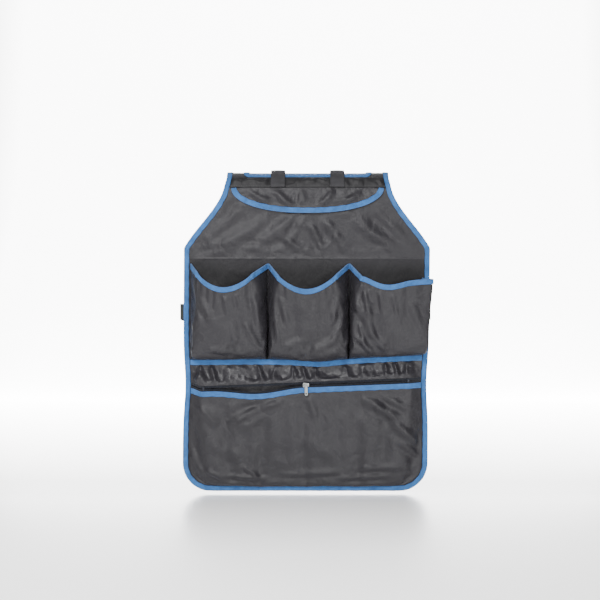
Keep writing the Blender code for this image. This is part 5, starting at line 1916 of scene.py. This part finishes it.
def build_stitches():
    """Rows of lockstitch along every binding, the straps and the pockets' darts."""
    made = finishes()
    look = bpy.context.scene.organizer_look
    sizes = {"Spacing": look.stitch_pitch, "Length": look.stitch_pitch * BLOCK_SHARE,
             "Thickness": STITCH_THICK, "Width": STITCH_WIDTH}
    runs = [stitch_run(name, TAPE_WIDTH - STITCH_INSET) for name in BINDINGS]
    runs.append(over_tape(rim_grid(), RIM_STITCH_LEG)[2:-2])
    tapes = repeat_along("binding_stitches", runs, sizes, made["thread"])
    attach(tapes, "organizer")
    dark = []
    for name in POCKETS:
        for u in (1.0, 2.0):
            start = TAPE_WIDTH + DART_START
            side = -1 if u < 1.5 else 1
            dart = [soft_point(name, u, d) for d in np.linspace(start, TAPE_WIDTH + DART_LENGTH, 14)]
            over = CLOTH / 2 + DART_OVER
            dark.append([tuple(drape(x + side * 0.0003, s, off + over)) for x, s, off in dart])
            tick = [soft_point(name, u - side * 0.02, d) for d in np.linspace(0.0008, start, 6)]
            over = FOLD + RIM_ROOM + TAPE / 2 + 0.0004
            dark.append([tuple(drape(x, s, off + over)) for x, s, off in tick])
    for centre in (-STRAP_SPACING / 2, STRAP_SPACING / 2):
        s = BAND_FOOT + STRAP_SEAM
        off = strap_off(s) + STRAP_RISE + STRAP_THICK / 2 + 0.0001
        across = np.linspace(-STRAP_WIDTH / 2 + 0.0015, STRAP_WIDTH / 2 - 0.0015, 12)
        dark.append([tuple(drape(centre + x, s, off)) for x in across])
    s = BAND_FOOT + BAND_SEAM
    across = [u * half_width(s, TUCK) for u in np.linspace(-0.98, 0.98, 120)]
    dark.append([tuple(drape(x, s, BAND_OFF + 0.0009)) for x in across])
    plain = repeat_along("dark_stitches", dark, sizes, made["dark_thread"])
    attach(plain, "organizer")


# Stage

# The floor, from its start in front through its bend to its top, and the light and camera
FLOOR_DROP = 0.0040
FLOOR_HALF = 1.7
FLOOR_START = -1.2
FLOOR_BEND = 1.6
FLOOR_RADIUS = 1.4
FLOOR_TOP = 4.5
WORLD_STRENGTH = 0.20
LIT_MIDDLE = (0.0, -0.04, -0.28)
CAMERA_AIM = (-0.0140, -0.0450, 0.3465)
SENSOR_WIDTH = 36.0

# name: (place, width and height, watts)
LIGHTS = {
    "key": ((-0.55, -1.5, 0.66), (0.8, 0.6), 33.0),
    "fill": ((0.9, -2.4, -0.12), (1.3, 0.5), 26.0),
    "top": ((0.0, -0.2, 1.7), (2.0, 1.6), 8.0),
}


def studio_paper(net):
    """White paper, glossier towards the back, with a glow that makes the backdrop white."""
    place = net.object_place()
    at = net.split(place)
    middle = net.ranged(net.math("ABSOLUTE", at["X"]), 1.0, 1.25, 1.0, 0.08)
    low = net.ranged(at["Z"], 0.80, 1.00, 1.0, 0.08)
    glow = net.ranged(at["Y"], 0.1, 1.7, 0.16, 9.0)
    front = net.ranged(at["Y"], -0.60, -0.04, 0.95, 0.05)
    grain = net.noise(place, 350.0, 3.0, 0.6)
    net.shade({"Base Color": net.mix(grain, (0.93, 0.93, 0.93), (0.97, 0.97, 0.97)),
               "Roughness": net.ranged(at["Y"], -0.85, -0.10, 0.60, 0.20),
               "Emission Color": (1.0, 1.0, 1.0, 1.0),
               "Emission Strength": net.plus(front, net.times(net.times(glow, middle), low))})


def aim(obj, target):
    """Turns a light or camera towards a point."""
    obj.rotation_euler = (target - obj.location).to_track_quat("-Z", "Y").to_euler()


def build_stage():
    """A pale floor that curves up behind, soft lights, and the camera in front."""
    profile = [(FLOOR_START, 0.0), (0.0, 0.0), (FLOOR_BEND, 0.0)]
    for a in np.linspace(0, math.pi / 2, 25)[1:]:
        profile.append((FLOOR_BEND + FLOOR_RADIUS * math.sin(a), FLOOR_RADIUS * (1 - math.cos(a))))
    profile.append((FLOOR_BEND + FLOOR_RADIUS, FLOOR_TOP))
    level = float(SHIFT[2]) - FLOOR_DROP
    points = [(x, y, level + z) for y, z in profile for x in (-FLOOR_HALF, FLOOR_HALF)]
    faces = [(2 * k, 2 * k + 1, 2 * k + 3, 2 * k + 2) for k in range(len(profile) - 1)]
    floor = add_mesh("floor", points, faces, finish_of("studio_paper", studio_paper))
    world = bpy.data.worlds.new("studio")
    bpy.context.scene.world = world
    world.use_nodes = True
    world.node_tree.nodes["Background"].inputs["Color"].default_value = (1.0, 1.0, 1.0, 1.0)
    world.node_tree.nodes["Background"].inputs["Strength"].default_value = WORLD_STRENGTH
    for name, (place, size, power) in LIGHTS.items():
        data = bpy.data.lights.new(name, "AREA")
        data.shape = "RECTANGLE"
        data.size, data.size_y = size
        data.energy = power
        light = placed(name, data)
        light.location = place
        aim(light, Vector(LIT_MIDDLE))
    look = bpy.context.scene.organizer_look
    data = bpy.data.cameras.new("camera")
    data.lens = look.camera_lens
    data.sensor_width = SENSOR_WIDTH
    camera = placed("camera", data)
    target = Vector(CAMERA_AIM) + Vector((0.0, 0.0, float(SHIFT[2])))
    rise = look.camera_rise
    camera.location = target + Vector((0.0, -math.cos(rise), math.sin(rise))) * look.camera_distance
    aim(camera, target)
    bpy.context.scene.camera = camera


# The add-on

def length_property(name, description, default):
    return bpy.props.FloatProperty(name=name, description=description, default=default, unit="LENGTH",
                                   precision=5)


def factor_property(name, description, default, low, high):
    return bpy.props.FloatProperty(name=name, description=description, default=default, subtype="FACTOR",
                                   min=low, max=high)


def colour_property(name, description, default):
    return bpy.props.FloatVectorProperty(name=name, description=description, default=default,
                                         subtype="COLOR", size=3, min=0.0, max=1.0)


class OrganizerLook(bpy.types.PropertyGroup):
    """Sizes and colours of the organizer's visible finish."""
    nylon_colour: colour_property("Nylon", "Colour of the pockets and panel", (0.0190, 0.0178, 0.0212))
    tape_colour: colour_property("Binding tape", "Colour of the bound edges", (0.034, 0.150, 0.410))
    strap_colour: colour_property("Straps", "Colour of the two straps over the slot", (0.022, 0.021, 0.025))
    zip_colour: colour_property("Zip", "Colour of the zip's tape", (0.006, 0.008, 0.016))
    weave_pitch: length_property("Weave pitch", "Distance between the nylon's threads", 0.0007)
    tape_rib: length_property("Tape rib", "Distance between the binding tape's ribs", 0.0009)
    stitch_pitch: length_property("Stitch pitch", "Distance from one stitch to the next", 0.0030)
    tooth_pitch: length_property("Tooth pitch", "Distance from one zip tooth to the next", 0.0016)
    nylon_gloss: factor_property("Nylon roughness", "Lower is glossier", 0.40, 0.1, 1.0)
    fold_height: factor_property("Fold height", "Height of the cloth's folds, as a factor", 1.0, 0.0, 2.0)
    fullness: factor_property("Fullness", "Spare cloth in the gathered pockets, as a share", 0.030, 0.0, 0.1)
    camera_lens: bpy.props.FloatProperty(name="Lens", description="Focal length in millimetres",
                                         default=100.0, subtype="NONE")
    camera_distance: length_property("Camera distance", "From the organizer's middle to the camera", 3.0)
    camera_rise: bpy.props.FloatProperty(name="Camera rise", description="Angle above the horizon",
                                         default=math.radians(2.5), subtype="ANGLE", unit="ROTATION")


class ORGANIZER_OT_panel(bpy.types.Operator):
    """Builds the panel behind everything"""
    bl_idname = "organizer.panel"
    bl_label = "Panel"

    def execute(self, context):
        build_panel()
        return {"FINISHED"}


class ORGANIZER_OT_top(bpy.types.Operator):
    """Builds the top band and the rounded flap under it"""
    bl_idname = "organizer.top"
    bl_label = "Top band and flap"

    def execute(self, context):
        build_top_band()
        build_flap()
        return {"FINISHED"}


class ORGANIZER_OT_pockets(bpy.types.Operator):
    """Builds the three gathered pockets"""
    bl_idname = "organizer.pockets"
    bl_label = "Pockets"

    def execute(self, context):
        for name in POCKETS:
            build_pocket(name)
        return {"FINISHED"}


class ORGANIZER_OT_lower_band(bpy.types.Operator):
    """Builds the gathered band over the zip"""
    bl_idname = "organizer.lower_band"
    bl_label = "Gathered band"

    def execute(self, context):
        build_lower_band()
        return {"FINISHED"}


class ORGANIZER_OT_zip_pocket(bpy.types.Operator):
    """Builds the large pocket under the zip"""
    bl_idname = "organizer.zip_pocket"
    bl_label = "Zip pocket"

    def execute(self, context):
        build_zip_pocket()
        return {"FINISHED"}


class ORGANIZER_OT_bindings(bpy.types.Operator):
    """Builds the blue tape over every edge"""
    bl_idname = "organizer.bindings"
    bl_label = "Bindings"

    def execute(self, context):
        for name in BINDINGS:
            build_binding(name)
        build_pocket_binding()
        return {"FINISHED"}


class ORGANIZER_OT_straps(bpy.types.Operator):
    """Builds the straps over the slot and their fastening"""
    bl_idname = "organizer.straps"
    bl_label = "Straps"

    def execute(self, context):
        build_strap("left", -STRAP_SPACING / 2)
        build_strap("right", STRAP_SPACING / 2)
        return {"FINISHED"}


class ORGANIZER_OT_seat_elastic(bpy.types.Operator):
    """Builds the elastic that goes round behind the panel"""
    bl_idname = "organizer.seat_elastic"
    bl_label = "Seat elastic"

    def execute(self, context):
        build_seat_strap()
        return {"FINISHED"}


class ORGANIZER_OT_zip(bpy.types.Operator):
    """Builds the zip's tapes, teeth and end stops"""
    bl_idname = "organizer.zip"
    bl_label = "Zip"

    def execute(self, context):
        build_zip()
        return {"FINISHED"}


class ORGANIZER_OT_slider(bpy.types.Operator):
    """Builds the zip's slider and its pull"""
    bl_idname = "organizer.slider"
    bl_label = "Slider and pull"

    def execute(self, context):
        build_slider()
        build_pull()
        return {"FINISHED"}


class ORGANIZER_OT_stitches(bpy.types.Operator):
    """Sews the rows of stitches"""
    bl_idname = "organizer.stitches"
    bl_label = "Stitches"

    def execute(self, context):
        build_stitches()
        return {"FINISHED"}


class ORGANIZER_OT_stage(bpy.types.Operator):
    """Sets the floor, the lights and the camera"""
    bl_idname = "organizer.stage"
    bl_label = "Stage"

    def execute(self, context):
        build_stage()
        return {"FINISHED"}


STEPS = (ORGANIZER_OT_panel, ORGANIZER_OT_top, ORGANIZER_OT_pockets, ORGANIZER_OT_lower_band,
         ORGANIZER_OT_zip_pocket, ORGANIZER_OT_bindings, ORGANIZER_OT_straps, ORGANIZER_OT_seat_elastic,
         ORGANIZER_OT_zip, ORGANIZER_OT_slider, ORGANIZER_OT_stitches, ORGANIZER_OT_stage)


class ORGANIZER_PT_panel(bpy.types.Panel):
    """Lists the organizer's sizes, colours and steps"""
    bl_idname = "ORGANIZER_PT_panel"
    bl_label = "Car Seat Organizer"
    bl_space_type = "VIEW_3D"
    bl_region_type = "UI"
    bl_category = "Organizer"

    def draw(self, context):
        look = context.scene.organizer_look
        for name in OrganizerLook.__annotations__:
            self.layout.prop(look, name)
        for step in STEPS:
            self.layout.operator(step.bl_idname)


CLASSES = (OrganizerLook, *STEPS, ORGANIZER_PT_panel)


def register():
    for part in CLASSES:
        bpy.utils.register_class(part)
    bpy.types.Scene.organizer_look = bpy.props.PointerProperty(type=OrganizerLook)


def unregister():
    del bpy.types.Scene.organizer_look
    for part in reversed(CLASSES):
        bpy.utils.unregister_class(part)


def main():
    register()
    bpy.ops.organizer.panel()
    bpy.ops.organizer.top()
    bpy.ops.organizer.pockets()
    bpy.ops.organizer.lower_band()
    bpy.ops.organizer.zip_pocket()
    bpy.ops.organizer.bindings()
    bpy.ops.organizer.straps()
    bpy.ops.organizer.seat_elastic()
    bpy.ops.organizer.zip()
    bpy.ops.organizer.slider()
    bpy.ops.organizer.stitches()
    bpy.ops.organizer.stage()


if __name__ == "__main__":
    main()
